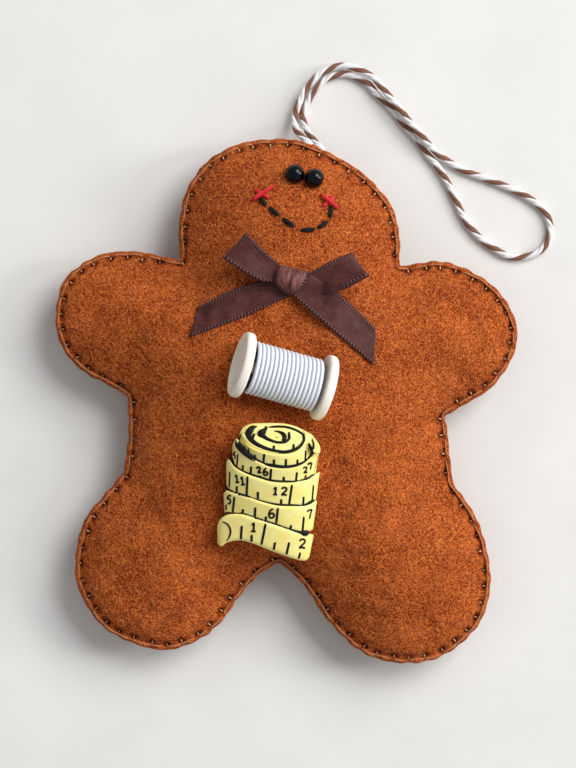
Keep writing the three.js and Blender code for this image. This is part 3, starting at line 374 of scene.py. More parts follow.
# Felt figure: both panels follow one outline, flat at the seam and swollen by the stuffing
figure = {
    "neckLeft": [-21.3, 28.2], "neckRight": [22.7, 27.1], "armpitRight": [31.9, -3.0],
    "hipRight": [33.3, -16.0], "crotch": [-1.3, -32.4], "hipLeft": [-32.5, -14.0], "armpitLeft": [-31.8, 1.0],
    "head": [[-21.5, 34.9], [-20.1, 41.9], [-16.1, 47.8], [-9.9, 51.3], [-1.7, 52.5],
             [4.1, 51.7], [10.7, 48.6], [16.5, 44.6], [21.1, 39.0], [22.7, 33.0]],
    "rightArm": [[25.1, 27.4], [30.5, 28.1], [36.7, 26.2], [42.5, 22.0], [45.7, 16.6],
                 [46.2, 13.0], [45.3, 8.8], [41.3, 2.9], [35.3, -1.0]],
    "rightSide": [[32.6, -9.4]],
    "rightLeg": [[38.2, -23.6], [40.3, -30.4], [40.9, -36.4], [38.7, -44.4], [31.7, -50.8],
                 [24.9, -52.5], [15.7, -50.6], [8.5, -44.2], [3.1, -36.4]],
    "leftLeg": [[-4.7, -34.2], [-8.1, -37.6], [-13.9, -45.2], [-17.9, -48.0], [-24.7, -49.8],
                [-35.9, -45.8], [-41.3, -38.2], [-42.3, -33.4], [-40.5, -24.1], [-34.7, -16.6]],
    "leftSide": [[-31.7, -7.0]],
    "leftArm": [[-36.5, 3.6], [-40.6, 5.8], [-44.9, 10.8], [-46.2, 17.2], [-44.3, 24.4],
                [-38.1, 29.0], [-31.3, 30.0], [-25.5, 29.2]],
    "seamHeight": 7.0, "thickness": 1.2, "leastThickness": 0.1, "seamGap": 0.3, "seamWidth": 1.6, "rimShare": 0.15,
    "frontCrown": 9.4, "backCrown": 6.9, "fullness": 11.5, "steepest": 0.6, "edgeRadius": 0.7, "tableRound": 0.9,
    "cornerSteps": 240, "edgeStep": 0.45, "easePoints": 9, "easeSpread": 2.0,
    "netStep": 1.25, "netBox": ((-48.0, 48.0), (-54.0, 54.0)), "netClear": 0.7, "ringKeep": 0.93, "gridStep": 0.4,
    "rings": [0.0, 0.2, 0.45, 0.75, 1.05, 1.35, 1.65, 2.0, 2.45, 2.95, 3.5],
    "stitchPitch": 3.55, "pitchSpread": 0.09, "stitchInset": 1.5, "insetSpread": (-0.2, 0.25),
    "pitDepth": 0.8, "pitLength": 0.62, "pitWidth": 0.42, "pitReach": 5.0, "pitShade": 1.1,
    "creaseDepth": 0.25, "creaseInset": 1.35, "creaseWidth": 0.4, "creaseEase": 0.6,
    "rimPull": (0.06, 0.3), "rimPuff": 0.2, "rimSpan": (0.4, 1.5),
}


# Outline: smooth stretches from corner to corner, turned anticlockwise and cut into even steps
def figureOutline():
    f = figure
    corners = ["neckLeft", "neckRight", "armpitRight", "hipRight", "crotch", "hipLeft", "armpitLeft"]
    curves = ["head", "rightArm", "rightSide", "rightLeg", "leftLeg", "leftSide", "leftArm"]
    parts = [smoothLine([f[a], *f[curve], f[b]], f["cornerSteps"])[:-1]
             for a, curve, b in zip(corners, curves, corners[1:] + corners[:1])]
    ring = np.vstack(parts)[::-1]
    ring = np.vstack([ring, ring[:1]])
    length = np.linalg.norm(np.diff(ring, axis=0), axis=1).sum()
    return evenly(ring, int(round(length / f["edgeStep"])) + 1)[:-1], length


outline, outlineLength = figureOutline()
edgeCount = len(outline)
# Inward direction along the edge, eased over a few points so that it fans round the inner corners
tangent = unit(np.roll(outline, -1, axis=0) - np.roll(outline, 1, axis=0))
inward = np.stack([-tangent[:, 1], tangent[:, 0]], axis=1)
ease = np.exp(-np.linspace(-figure["easeSpread"], figure["easeSpread"], figure["easePoints"]) ** 2)
inward = unit(sum(w * np.roll(inward, k - len(ease) // 2, axis=0) for k, w in enumerate(ease)))
arc = np.arange(edgeCount) * outlineLength / edgeCount
print("outline: %.0f mm round, %d points" % (outlineLength, edgeCount))


# Nearest distance from each place to the outline, and where along the outline that is
def toOutline(places, chunk=64):
    best = np.full(len(places), 1e9)
    where = np.zeros(len(places))
    for start in range(0, edgeCount, chunk):
        gap = np.linalg.norm(places[:, None, :] - outline[None, start:start + chunk], axis=2)
        k = gap.argmin(axis=1)
        least = gap[np.arange(len(places)), k]
        where = np.where(least < best, arc[(start + k) % edgeCount], where)
        best = np.minimum(least, best)
    return best, where


# Whether each place is inside: odd crossings of the outline to its right
def insideOutline(places):
    a, b = outline, np.roll(outline, -1, axis=0)
    x, y = places[:, :1], places[:, 1:]
    spans = (a[None, :, 1] > y) != (b[None, :, 1] > y)
    rise = np.where(b[:, 1] == a[:, 1], 1e-9, b[:, 1] - a[:, 1])
    crossing = a[None, :, 0] + (y - a[None, :, 1]) * ((b[:, 0] - a[:, 0]) / rise)[None]
    return (spans & (x < crossing)).sum(axis=1) % 2 == 1


# Net over the outline: rings that follow the edge, then a lattice of places inside, joined by triangles
def feltNet():
    rings, step = figure["rings"], figure["netStep"]
    ringPoints = np.concatenate([outline + inward * d for d in rings])
    ringInset = np.repeat(rings, edgeCount)
    ringArc = np.tile(arc, len(rings))
    (left, right), (low, high) = figure["netBox"]
    x, y = np.meshgrid(np.arange(left, right, step), np.arange(low, high, step * 0.75**0.5))
    x = x + (np.arange(len(x)) % 2)[:, None] * step / 2
    places = np.stack([x.ravel(), y.ravel()], axis=1)
    places = places[insideOutline(places)]
    inset, where = toOutline(places)
    deep = inset > rings[-1] + figure["netClear"] * step
    # a ring point is dropped where another stretch of the edge is nearer than its own, as beside a sharp corner
    own, _ = toOutline(ringPoints)
    keep = (ringInset == 0.0) | (own > ringInset * figure["ringKeep"])
    points = np.vstack([ringPoints[keep], places[deep]])
    inset = np.concatenate([ringInset[keep], inset[deep]])
    where = np.concatenate([ringArc[keep], where[deep]])
    loop = [(k, (k + 1) % edgeCount) for k in range(edgeCount)]
    out = delaunay_2d_cdt(points.tolist(), loop, [], 1, 1e-5)
    faces = np.array([f for f in out[2] if len(f) == 3], int)
    source = np.array([s[0] if len(s) else -1 for s in out[3]])
    spot = np.asarray([v[:] for v in out[0]])
    flip = np.cross(spot[faces[:, 1]] - spot[faces[:, 0]], spot[faces[:, 2]] - spot[faces[:, 0]]) < 0
    faces[flip] = faces[flip][:, ::-1]
    return points, inset, where, source[faces]


netPoints, netInset, netArc, netFaces = feltNet()
print("felt net:", len(netPoints), "points,", len(netFaces), "faces")


# Soft light from the upper right, a small window low on the right, a weaker light all round, and a pale table
studio = {"aim": (0.0, 0.0, 0.01), "key": (0.78, 0.66, 0.95), "keySize": (0.85, 0.85), "keyPower": 17.0,
          "window": (1.15, 0.12, 0.52), "windowSize": (0.22, 0.5), "windowPower": 6.0, "around": 0.38,
          "table": [(226, 225, 222), (232, 231, 228)], "tableSize": 1.6, "tableTop": -0.05}

sky = bpy.data.worlds.new("around")
sky.use_nodes = True
sky.node_tree.nodes["Background"].inputs["Color"].default_value = (1.0, 1.0, 1.0, 1.0)
sky.node_tree.nodes["Background"].inputs["Strength"].default_value = studio["around"]
scene.world = sky
for name in ("key", "window"):
    softbox = bpy.data.lights.new(name, "AREA")
    softbox.shape = "RECTANGLE"
    softbox.size, softbox.size_y = studio[name + "Size"]
    softbox.energy = studio[name + "Power"]
    lamp = bpy.data.objects.new(name, softbox)
    lamp.location = studio[name]
    lamp.rotation_euler = (Vector(studio["aim"]) - lamp.location).to_track_quat("-Z", "Y").to_euler()
    scene.collection.objects.link(lamp)
tablePaint = cloudyMaterial("table", {"Roughness": 0.7, "Specular IOR Level": 0.25}, studio["table"], 0.05, 3.0)
corners = np.array([[-1, -1], [1, -1], [1, 1], [-1, 1]]) * studio["tableSize"] / 2 / mm
tableTop = {"points": np.column_stack([corners, np.full(4, studio["tableTop"])]), "quads": np.array([[0, 1, 2, 3]])}
table = makePiece("table", tableTop, None, tablePaint)
scene.view_settings.view_transform = "Standard"
print("studio set")


# Pull between neighbours of the net, from the two angles that face each side, and the area round each point
def netWeights():
    i, j, k = netFaces.T
    p = netPoints
    twice = np.cross(p[j] - p[i], p[k] - p[i])
    rows, cols, pull = [], [], []
    for a, b, c in ((i, j, k), (j, k, i), (k, i, j)):
        slope = 0.5 * np.sum((p[b] - p[a]) * (p[c] - p[a]), axis=1) / np.maximum(twice, 1e-6)
        rows += [b, c]
        cols += [c, b]
        pull += [slope, slope]
    area = np.bincount(netFaces.T.ravel(), np.tile(twice / 6.0, 3), len(p))
    return np.concatenate(rows), np.concatenate(cols), np.concatenate(pull), area


# Rise of a stuffed skin: the pull of its neighbours less its height over the fullness squared balances an even
# push, with no rise at the stitches; found by conjugate gradients and scaled to one at its highest
def swollenRise(mostRounds=500, closeEnough=1e-12):
    rows, cols, pull, area = netWeights()
    count = len(netPoints)
    free = (netInset > figure["seamWidth"] + 0.01).astype(float)
    stiff = np.bincount(rows, pull, count) + area / figure["fullness"] ** 2
    rise, rest = np.zeros(count), free * area
    way, size = rest.copy(), rest @ rest
    for _ in range(mostRounds):
        push = free * (stiff * way - np.bincount(rows, pull * way[cols], count))
        step = size / (way @ push)
        rise += step * way
        rest -= step * push
        before, size = size, rest @ rest
        if size < closeEnough:
            break
        way = rest + size / before * way
    return rise / rise.max()


# Direction out of the surface at each point: the mean of its faces, each by its area
def pointNormals(points, faces):
    a, b, c = points[faces[:, 0]], points[faces[:, 1]], points[faces[:, 2]]
    out = np.cross(b - a, c - a)
    return unit(np.stack([np.bincount(faces.ravel(), np.repeat(out[:, k], 3), len(points)) for k in range(3)], 1))


# Hollows that the two buttons press in the belly: each a plane, level or tilted, round a place
seats = {
    "spool": {"at": (-1.6, 5.2), "height": 18.0, "tilt": 0.0, "reach": 15.0, "hold": 9.0, "fade": 0.8, "round": 0.8},
    "tape": {"at": (-3.5, -17.5), "height": 16.55, "tilt": 9.0, "reach": 19.0, "hold": 15.0, "fade": 0.8,
             "round": 0.8},
}


# Skin under the buttons: the softened lesser of its height and each seat's plane, faded out towards the reach
def pressSeats(places, height):
    for seat in seats.values():
        gap = places - np.array(seat["at"])
        plane = seat["height"] + np.tan(np.radians(seat["tilt"])) * gap[:, 1]
        near = 1.0 - between(seat["reach"] * seat["fade"], seat["reach"], np.linalg.norm(gap, axis=1))
        height = height + near * (softMin(height, plane, seat["round"]) - height)
    return height


rise = swollenRise()
lie = np.column_stack([netPoints, figure["frontCrown"] * rise])
thickUp = figure["thickness"] / np.maximum(pointNormals(lie, netFaces)[:, 2], figure["steepest"])
edgeRound = np.sqrt(1.0 - (1.0 - np.clip(netInset / figure["edgeRadius"], 0.0, 1.0)) ** 2)
seamTop = figure["seamHeight"] + figure["seamGap"] / 2
seamBottom = figure["seamHeight"] - figure["seamGap"] / 2
frontHeight = pressSeats(netPoints, seamTop + figure["frontCrown"] * rise + thickUp)
backHeight = seamBottom - figure["backCrown"] * rise - thickUp
backHeight = -softMin(-backHeight, np.zeros(len(rise)), figure["tableRound"])
backHeight = np.maximum(backHeight, 0.0)
print("stuffed shape: front to %.1f mm" % frontHeight.max())


# Stuffing pushes the sewn skin out: a cloth pressed from inside, held along the stitches, under the buttons
# and on the table. The model is run at ten times its size, and no point moves further than the limit
stuffing = {
    "scale": 10.0, "frames": 20, "mostMove": 1.1, "seamHold": 0.5, "tableHold": 0.4,
    "cloth": {"quality": 5, "mass": 0.2, "tension_stiffness": 25.0, "compression_stiffness": 25.0,
              "bending_stiffness": 2.0, "shrink_min": -0.02, "use_pressure": True, "uniform_pressure_force": 5.0},
}


# Move of each point of both skins: where the cloth carries it less where it was, cut to the limit
def clothPuff(front, back):
    s = stuffing
    count = len(front)
    skin = np.vstack([np.column_stack([netPoints, front]), np.column_stack([netPoints, back])])
    lower = np.where(np.arange(count) < edgeCount, np.arange(count), np.arange(count) + count)
    skin[:edgeCount, 2] = figure["seamHeight"]
    faces = np.vstack([netFaces, lower[netFaces[:, ::-1]]])
    used, compact = np.unique(faces, return_inverse=True)
    shape = {"points": skin[used] * s["scale"], "tris": compact.reshape(-1, 3)}
    model = makePiece("skinModel", shape, None, tablePaint)
    still = np.tile(netInset <= figure["seamWidth"] + s["seamHold"], 2)
    for seat in seats.values():
        still |= np.tile(np.linalg.norm(netPoints - np.array(seat["at"]), axis=1) < seat["hold"], 2)
    still[count:] |= back < s["tableHold"]
    hold = model.vertex_groups.new(name="hold")
    hold.add(np.flatnonzero(still[used]).tolist(), 1.0, "REPLACE")
    cloth = model.modifiers.new("cloth", "CLOTH")
    for setting, value in s["cloth"].items():
        setattr(cloth.settings, setting, value)
    cloth.settings.vertex_group_mass = "hold"
    cloth.settings.effector_weights.gravity = 0.0
    cloth.collision_settings.use_collision = False
    cloth.point_cache.frame_start = 1
    cloth.point_cache.frame_end = s["frames"]
    for moment in range(1, s["frames"] + 1):
        scene.frame_set(moment)
    done = model.evaluated_get(bpy.context.evaluated_depsgraph_get()).data
    moved = np.empty(len(used) * 3, np.float32)
    done.vertices.foreach_get("co", moved)
    scene.frame_set(1)
    move = np.zeros_like(skin)
    move[used] = moved.reshape(-1, 3) / (s["scale"] * mm) - skin[used]
    far = np.linalg.norm(move, axis=1, keepdims=True)
    move *= np.minimum(1.0, s["mostMove"] / np.maximum(far, 1e-9))
    bpy.data.objects.remove(model)
    return move[:count], move[count:]


frontMove = backMove = np.zeros((len(rise), 3))
frontMove, backMove = clothPuff(frontHeight, backHeight)
print("cloth moved at most %.2f mm" % np.linalg.norm(frontMove, axis=1).max())

# Stitch places along the edge, a little uneven
stitchCount = int(round(outlineLength / figure["stitchPitch"]))
uneven = chance.uniform(-figure["pitchSpread"], figure["pitchSpread"], stitchCount)
stitchArc = (np.arange(stitchCount) + uneven) * outlineLength / stitchCount


# Place on the figure so far along its edge and so far in
def edgeAt(along, inset):
    wrap = np.append(arc, outlineLength)
    along = np.mod(along, outlineLength)
    place = [np.interp(along, wrap, np.append(v, v[0])) for v in (*outline.T, *inward.T)]
    return np.stack(place[:2], -1) + np.asarray(inset)[..., None] * unit(np.stack(place[2:], -1))


stitchHoles = edgeAt(stitchArc, figure["stitchInset"] + chance.uniform(*figure["insetSpread"], stitchCount))
stitchPull = chance.uniform(*figure["rimPull"], stitchCount)


# Each stitch draws the felt in: a pit at its hole, longer along the edge than across it, a crease beside the
# thread, and a rim that swells in between. Pit and crease are bell curves, the swelling is a squared sine.
# Also returned is painted shade for the felt's colour, a bell curve round each hole
def drawnIn(height, move, sign):
    f = figure
    stretch = np.append(stitchArc, stitchArc[0] + outlineLength)
    past = np.mod(netArc - stitchArc[0], outlineLength) + stitchArc[0]
    turn = np.interp(past, stretch, np.arange(stitchCount + 1))
    swell = np.sin(np.pi * turn) ** 2
    near = netInset < f["pitReach"]
    spread = netPoints[near][:, None] - stitchHoles[None]
    nearest = np.linalg.norm(spread, axis=2).argmin(axis=1)
    spread = spread[np.arange(len(nearest)), nearest]
    inwards = edgeAt(netArc, np.ones(len(netArc))) - edgeAt(netArc, np.zeros(len(netArc)))
    deep = np.sum(spread * inwards[near], axis=1) / f["pitWidth"]
    aside = (spread[:, 0] * inwards[near, 1] - spread[:, 1] * inwards[near, 0]) / f["pitLength"]
    gap = np.full(len(netPoints), 9.0)   # well clear of every pit
    gap[near] = np.hypot(deep, aside)
    pit = f["pitDepth"] * np.exp(-gap ** 2)
    crease = np.exp(-((netInset - f["creaseInset"]) / f["creaseWidth"]) ** 2)
    crease = f["creaseDepth"] * crease * (1.0 - f["creaseEase"] * swell)
    rim = 1.0 - between(*f["rimSpan"], netInset)
    points = np.column_stack([netPoints, height]) + move
    points[:, 2] += sign * (f["rimPuff"] * swell * rim * edgeRound - pit - crease)
    pull = stitchPull[np.round(turn).astype(int) % stitchCount]
    points[:, :2] += inwards * (pull * (1.0 - swell) * rim)[:, None]
    # the second value is painted shade: it darkens the felt's colour round each stitch hole
    return points, np.exp(-(gap / f["pitShade"]) ** 2)


rimThick = figure["thickness"] * (figure["rimShare"] + (1.0 - figure["rimShare"]) * edgeRound)
flat = netInset < figure["seamWidth"]
frontOuter, pitShade = drawnIn(np.where(flat, seamTop + rimThick, frontHeight), frontMove, 1.0)
backOuter, _ = drawnIn(np.where(flat, seamBottom - rimThick, backHeight), backMove, -1.0)
backOuter[:, 2] = np.maximum(backOuter[:, 2], 0.0)


# Closed panel: the outer skin, the same skin set in by the felt's thickness, and a strip round the cut edge;
# the outer skin carries the painted shade round the stitch holes
def feltPanel(outer, sign, seam):
    least = figure["leastThickness"]
    inner = outer.copy()
    inner[:, 2] = outer[:, 2] - sign * figure["thickness"]
    inner[:, 2] = sign * np.maximum(sign * inner[:, 2], sign * seam)
    thin = sign * (outer[:, 2] - inner[:, 2]) < least
    inner[:, 2] = np.where(thin, outer[:, 2] - sign * least, inner[:, 2])
    count = len(outer)
    e = np.arange(edgeCount)
    n = (e + 1) % edgeCount
    strip = np.stack([n, e, e + count, n + count], -1)
    faces = np.vstack([netFaces, netFaces[:, ::-1] + count])
    if sign < 0:
        faces, strip = faces[:, ::-1], strip[:, ::-1]
    return {"points": np.vstack([outer, inner]), "tris": faces, "quads": strip,
            "tint": np.append(pitShade, 0 * pitShade)}


feltPaint = {
    # The darkest tone is painted shade, laid round the stitch holes by the mesh's painted hole shade
    "holeShadeTone": (26, 6, 1), "pit": (92, 24, 0), "body": (133, 46, 3), "strand": (237, 129, 58), "sheen": (255, 170, 110),
    "stops": {"holeShadeTone": 0.02, "strand": 0.85, "pit": 0.2, "body": 0.46},
    "curl": 1.5, "layers": [(0.0, 1.0), (37.0, 1.35)], "strandWidth": 0.05, "strandShare": 0.42,
    "cell": 1.5, "warp": 1.6, "warpBy": 0.9, "pitSpan": (0.08, 0.34), "pitShare": -0.29,
    "fine": 4.5, "fineShare": 0.42, "mottle": 0.16, "mottleShare": 0.45, "holeShadeShare": -0.62, "relief": 0.2,
}


# Felt: light curling strands along the level lines of two noises, small dark pits between them, broad mottling,
# and painted shade round the stitch holes, all added to one level for the colour and the relief
def feltMaterial():
    f = feltPaint
    material, tree, shader = newMaterial("felt", {
        "Roughness": 0.75, "Specular IOR Level": 0.13, "Sheen Weight": 0.05, "Sheen Roughness": 0.5,
        "Sheen Tint": (*colour(*f["sheen"]), 1.0)})
    place = placeInMm(tree)
    strands = []
    for shift, scale in f["layers"]:
        moved = addNode(tree, "ShaderNodeVectorMath", {0: place, 1: (shift, 2 * shift, 0.0)}, operation="ADD")
        field = noise(tree, moved.outputs[0], f["curl"] * scale, 2.0, Roughness=0.55)
        off = maths(tree, "ABSOLUTE", maths(tree, "SUBTRACT", field, 0.5))
        strands.append(spanned(tree, off, 0.0, f["strandWidth"], 1.0, 0.0))
    warp = addNode(tree, "ShaderNodeTexNoise", {"Vector": place, "Scale": f["warp"], "Detail": 2.0})
    warped = addNode(tree, "ShaderNodeVectorMath", {
        0: warp.outputs["Color"], 1: (f["warpBy"],) * 3, 2: place}, operation="MULTIPLY_ADD").outputs[0]
    cells = addNode(tree, "ShaderNodeTexVoronoi", {"Vector": warped, "Scale": f["cell"], "Randomness": 1.0})
    level = spanned(tree, cells.outputs["Distance"], *f["pitSpan"], f["pitShare"], 0.0)
    level = maths(tree, "MULTIPLY_ADD", maths(tree, "MAXIMUM", *strands), f["strandShare"], level)
    fine = noise(tree, place, f["fine"], 4.0, Roughness=0.65)
    level = maths(tree, "MULTIPLY_ADD", fine, f["fineShare"], level)
    mottle = noise(tree, place, f["mottle"], 4.0, Roughness=0.6)
    level = maths(tree, "MULTIPLY_ADD", mottle, f["mottleShare"], level)
    # painted shade round each stitch hole, kept on the mesh, darkens the level
    holeShade = addNode(tree, "ShaderNodeAttribute", attribute_name="tint").outputs["Fac"]
    level = maths(tree, "MULTIPLY_ADD", holeShade, f["holeShadeShare"], level)
    paint(tree, shader, level, [(at, f[tone]) for tone, at in f["stops"].items()])
    bump(tree, shader, level, f["relief"])
    return material


felt = feltMaterial()
frontFelt = makePiece("frontFelt", feltPanel(frontOuter, 1.0, seamTop), "ornament", felt)
backFelt = makePiece("backFelt", feltPanel(backOuter, -1.0, seamBottom), "ornament", felt)
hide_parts("front_felt")
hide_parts("back_felt")
print("felt panels made")


# Heights over a square grid: each face gives its own plane to the grid places inside it, the highest counts
def heightGrid(points, faces, step):
    origin = points[:, :2].min(axis=0) - 2 * step
    size = np.ceil((points[:, :2].max(axis=0) - origin) / step).astype(int) + 3
    grid = np.full(size, points[:, 2].min())
    a, b, c = (points[faces[:, k]] for k in range(3))
    low = np.floor((np.minimum(np.minimum(a, b), c)[:, :2] - origin) / step).astype(int)
    high = np.ceil((np.maximum(np.maximum(a, b), c)[:, :2] - origin) / step).astype(int)
    ab, ac = b - a, c - a
    whole = ab[:, 0] * ac[:, 1] - ab[:, 1] * ac[:, 0]
    whole = np.where(np.abs(whole) < 1e-9, np.inf, whole)
    for dx, dy in np.ndindex(*((high - low).max(axis=0) + 1)):
        cell = np.minimum(low + (dx, dy), size - 1)
        gap = origin + cell * step - a[:, :2]
        u = (gap[:, 0] * ac[:, 1] - gap[:, 1] * ac[:, 0]) / whole
        v = (ab[:, 0] * gap[:, 1] - ab[:, 1] * gap[:, 0]) / whole
        hit = (u >= -1e-6) & (v >= -1e-6) & (u + v <= 1 + 1e-6)
        np.maximum.at(grid, (cell[hit, 0], cell[hit, 1]), (a[:, 2] + u * ab[:, 2] + v * ac[:, 2])[hit])
    return origin, step, grid


# Height at places between the grid's own, by the four round each
def heightAt(grid, places):
    origin, step, heights = grid
    at = np.clip((np.asarray(places)[..., :2] - origin) / step, 0, np.array(heights.shape) - 1.001)
    k = at.astype(int)
    f = at - k
    x, y = k[..., 0], k[..., 1]
    return ((heights[x, y] * (1 - f[..., 0]) + heights[x + 1, y] * f[..., 0]) * (1 - f[..., 1])
            + (heights[x, y + 1] * (1 - f[..., 0]) + heights[x + 1, y + 1] * f[..., 0]) * f[..., 1])


feltGrid = heightGrid(frontOuter, netFaces, figure["gridStep"])


# Place at a height that the camera sees at a spot of the picture, counted in its dots from the top left
def seen(across, down, height):
    wide, tall = camera["dots"]
    spread = (camera["height"] - np.asarray(height, float)) / camera["frameAt"] * camera["frameHeight"] / tall
    x = camera["over"][0] + (np.asarray(across, float) - wide / 2) * spread
    y = camera["over"][1] + (tall / 2 - np.asarray(down, float)) * spread
    return np.stack(np.broadcast_arrays(x, y, height), -1)


# Place where the camera's line through a spot meets a surface: the height is looked up again at each nearer place
def seenOn(surface, spots, guess, looks):
    spots = np.asarray(spots, float)
    place = seen(spots[..., 0], spots[..., 1], guess)
    for _ in range(looks):
        place = seen(spots[..., 0], spots[..., 1], surface(place))
    return place


# Place so far above the felt under a spot of the picture
def seenOnFelt(spots, above=0.0):
    return seenOn(lambda place: heightAt(feltGrid, place) + above, spots, 15.0, 3)


# Blanket stitches: a thread along the rim that sinks into the felt before the next stitch, a short loop at
# each hole painted lighter than the thread as a glint, and a leg round the edge to the back
edgeStitch = {
    "thread": 0.3, "sides": 7, "inset": 0.85, "wander": 0.18, "runSteps": 13, "ride": 0.9,
    "sink": (0.3, 3.4), "sinkSpan": (0.25, 0.95),
    "loop": 0.62, "loopShift": 0.35, "loopRise": 0.3, "loopDip": 0.5,
    "legSteps": 8, "legInset": 0.4, "legRide": 0.8, "legDip": 1.4, "frontGrid": 0.2, "backGrid": 0.4,
    "copper": {"dark": (108, 48, 16), "light": (222, 146, 90), "ridges": 3, "pitch": -1.1, "rough": 0.4,
               "relief": 0.05, "sheen": 0.1},
    # lighter copy of the copper thread: a painted glint for the loops at the holes
    "bright": {"dark": (190, 118, 66), "light": (248, 198, 144), "ridges": 3, "pitch": -1.1, "rough": 0.3,
               "relief": 0.04, "sheen": 0.1},
}
copperThread = threadMaterial("copper thread", edgeStitch["copper"])
paintedGlintThread = threadMaterial("copper thread painted glint", edgeStitch["bright"])


# Runs wander off the inset by half a sine and sink by a smooth step; loops drop at both ends by a fourth power;
# legs go straight from rim to hole under the back and sink by a square
def blanketStitches():
    e = edgeStitch
    r, sides = e["thread"] / 2, e["sides"]
    grid = heightGrid(frontOuter, netFaces, e["frontGrid"])
    t = np.linspace(0.0, 1.0, e["runSteps"])[None, :]
    along = stitchArc[:, None] * (1 - t) + np.append(stitchArc[1:], stitchArc[0] + outlineLength)[:, None] * t
    runs = edgeAt(along, e["inset"] + chance.uniform(-1, 1, (stitchCount, 1)) * e["wander"] * np.sin(np.pi * t))
    sink = chance.uniform(*e["sink"], (stitchCount, 1)) * between(*e["sinkSpan"], t)
    runs = np.dstack([runs, heightAt(grid, runs) + r * (e["ride"] - sink)])
    t = np.linspace(-1.0, 1.0, e["legSteps"])[None, :, None]
    away = unit(stitchHoles - edgeAt(stitchArc, np.zeros(stitchCount)))
    loops = stitchHoles[:, None] + (t - e["loopShift"]) * e["loop"] / 2 * away[:, None]
    loops = np.dstack([loops, heightAt(grid, stitchHoles)[:, None] + e["loopRise"] - e["loopDip"] * t[..., 0] ** 4])
    t = (t + 1) / 2
    backGrid = heightGrid(backOuter * (1, 1, -1), netFaces, e["backGrid"])
    rims = edgeAt(stitchArc, np.full(stitchCount, e["legInset"]))
    legs = rims[:, None] * (1 - t) + stitchHoles[:, None] * t
    depth = heightAt(backGrid, legs) + r * (e["legRide"] - e["legDip"] * t[..., 0] ** 2)
    legs = np.dstack([legs, np.maximum(-depth, r)])
    # the loops take the second material, the lighter copy painted as a glint
    return together(together(sweep(runs, r, sides), sweep(legs, r, sides)), sweep(loops, r, sides))


edgeShape = blanketStitches()
edgeThread = makePiece("edgeThread", edgeShape, "ornament", [copperThread, paintedGlintThread])
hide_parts("edge_thread")
print("edge stitches:", stitchCount)


# Fuzz: fine curling hairs that lie on the front felt and arch a little off it, none under the buttons.
# Each clear field has half its length, half its width and its turn
fuzz = {"count": 6200, "length": (0.7, 2.0), "radius": 0.042, "sides": 3, "steps": 5, "arch": 0.2, "curl": 0.4,
        "stand": 0.01, "edgeClear": 0.35, "clear": {"spool": (10.8, 7.2, -15.6), "tape": (10.6, 13.6, -4.0)},
        "colours": [(178, 74, 20), (248, 156, 92)]}


# Each hair starts at an even chance over the skin's area, bends sideways as a parabola and rises as another
def fuzzShape():
    z = fuzz
    a, b, c = (frontOuter[netFaces[:, k]] for k in range(3))
    area = np.linalg.norm(np.cross(b - a, c - a), axis=1)
    pick = chance.choice(len(netFaces), z["count"], p=area / area.sum())
    u, v = chance.random((2, z["count"], 1))
    u, v = np.where(u + v > 1, 1 - u, u), np.where(u + v > 1, 1 - v, v)
    start = a[pick, :2] + u * (b - a)[pick, :2] + v * (c - a)[pick, :2]
    way = chance.uniform(0.0, 2 * np.pi, z["count"])
    length = chance.uniform(*z["length"], z["count"])
    s = np.linspace(0.0, 1.0, z["steps"])[None, :, None]
    parabola = 4 * s * (1 - s)
    ahead = np.stack([np.cos(way), np.sin(way)], -1)[:, None] * length[:, None, None]
    aside = np.stack([-ahead[..., 1], ahead[..., 0]], -1) * chance.uniform(-1, 1, (z["count"], 1, 1)) * z["curl"]
    path = start[:, None] + s * ahead + parabola * aside
    inset, _ = toOutline(path.reshape(-1, 2))
    keep = (inset.reshape(path.shape[:2]) > z["edgeClear"]).all(axis=1)
    keep &= insideOutline(path.reshape(-1, 2)).reshape(path.shape[:2]).all(axis=1)
    for name, (reach, width, turn) in z["clear"].items():
        off = path - np.array(seats[name]["at"])
        cos, sin = np.cos(np.radians(turn)), np.sin(np.radians(turn))
        along, across = off[..., 0] * cos + off[..., 1] * sin, off[..., 1] * cos - off[..., 0] * sin
        keep &= ~((np.abs(along) < reach) & (np.abs(across) < width)).any(axis=1)
    path = path[keep]
    arch = z["arch"] * chance.random((len(path), 1)) * parabola[..., 0]
    return sweep(np.dstack([path, heightAt(feltGrid, path) + z["stand"] + arch]), z["radius"], z["sides"])


hairPaint = cloudyMaterial("felt hair", {"Roughness": 0.55, "Specular IOR Level": 0.25}, fuzz["colours"], 0.9, 2.0)
feltFuzz = makePiece("feltFuzz", fuzzShape(), "ornament", hairPaint)
print("fuzz:", len(feltFuzz.data.polygons), "faces")


# Filling: one loose mass that keeps clear of both panels, over the same net
wadding = {"room": (2.9, 7.0), "gap": 0.05, "clear": 1.75, "colours": [(214, 208, 196), (246, 243, 236)],
           "relief": 0.8}


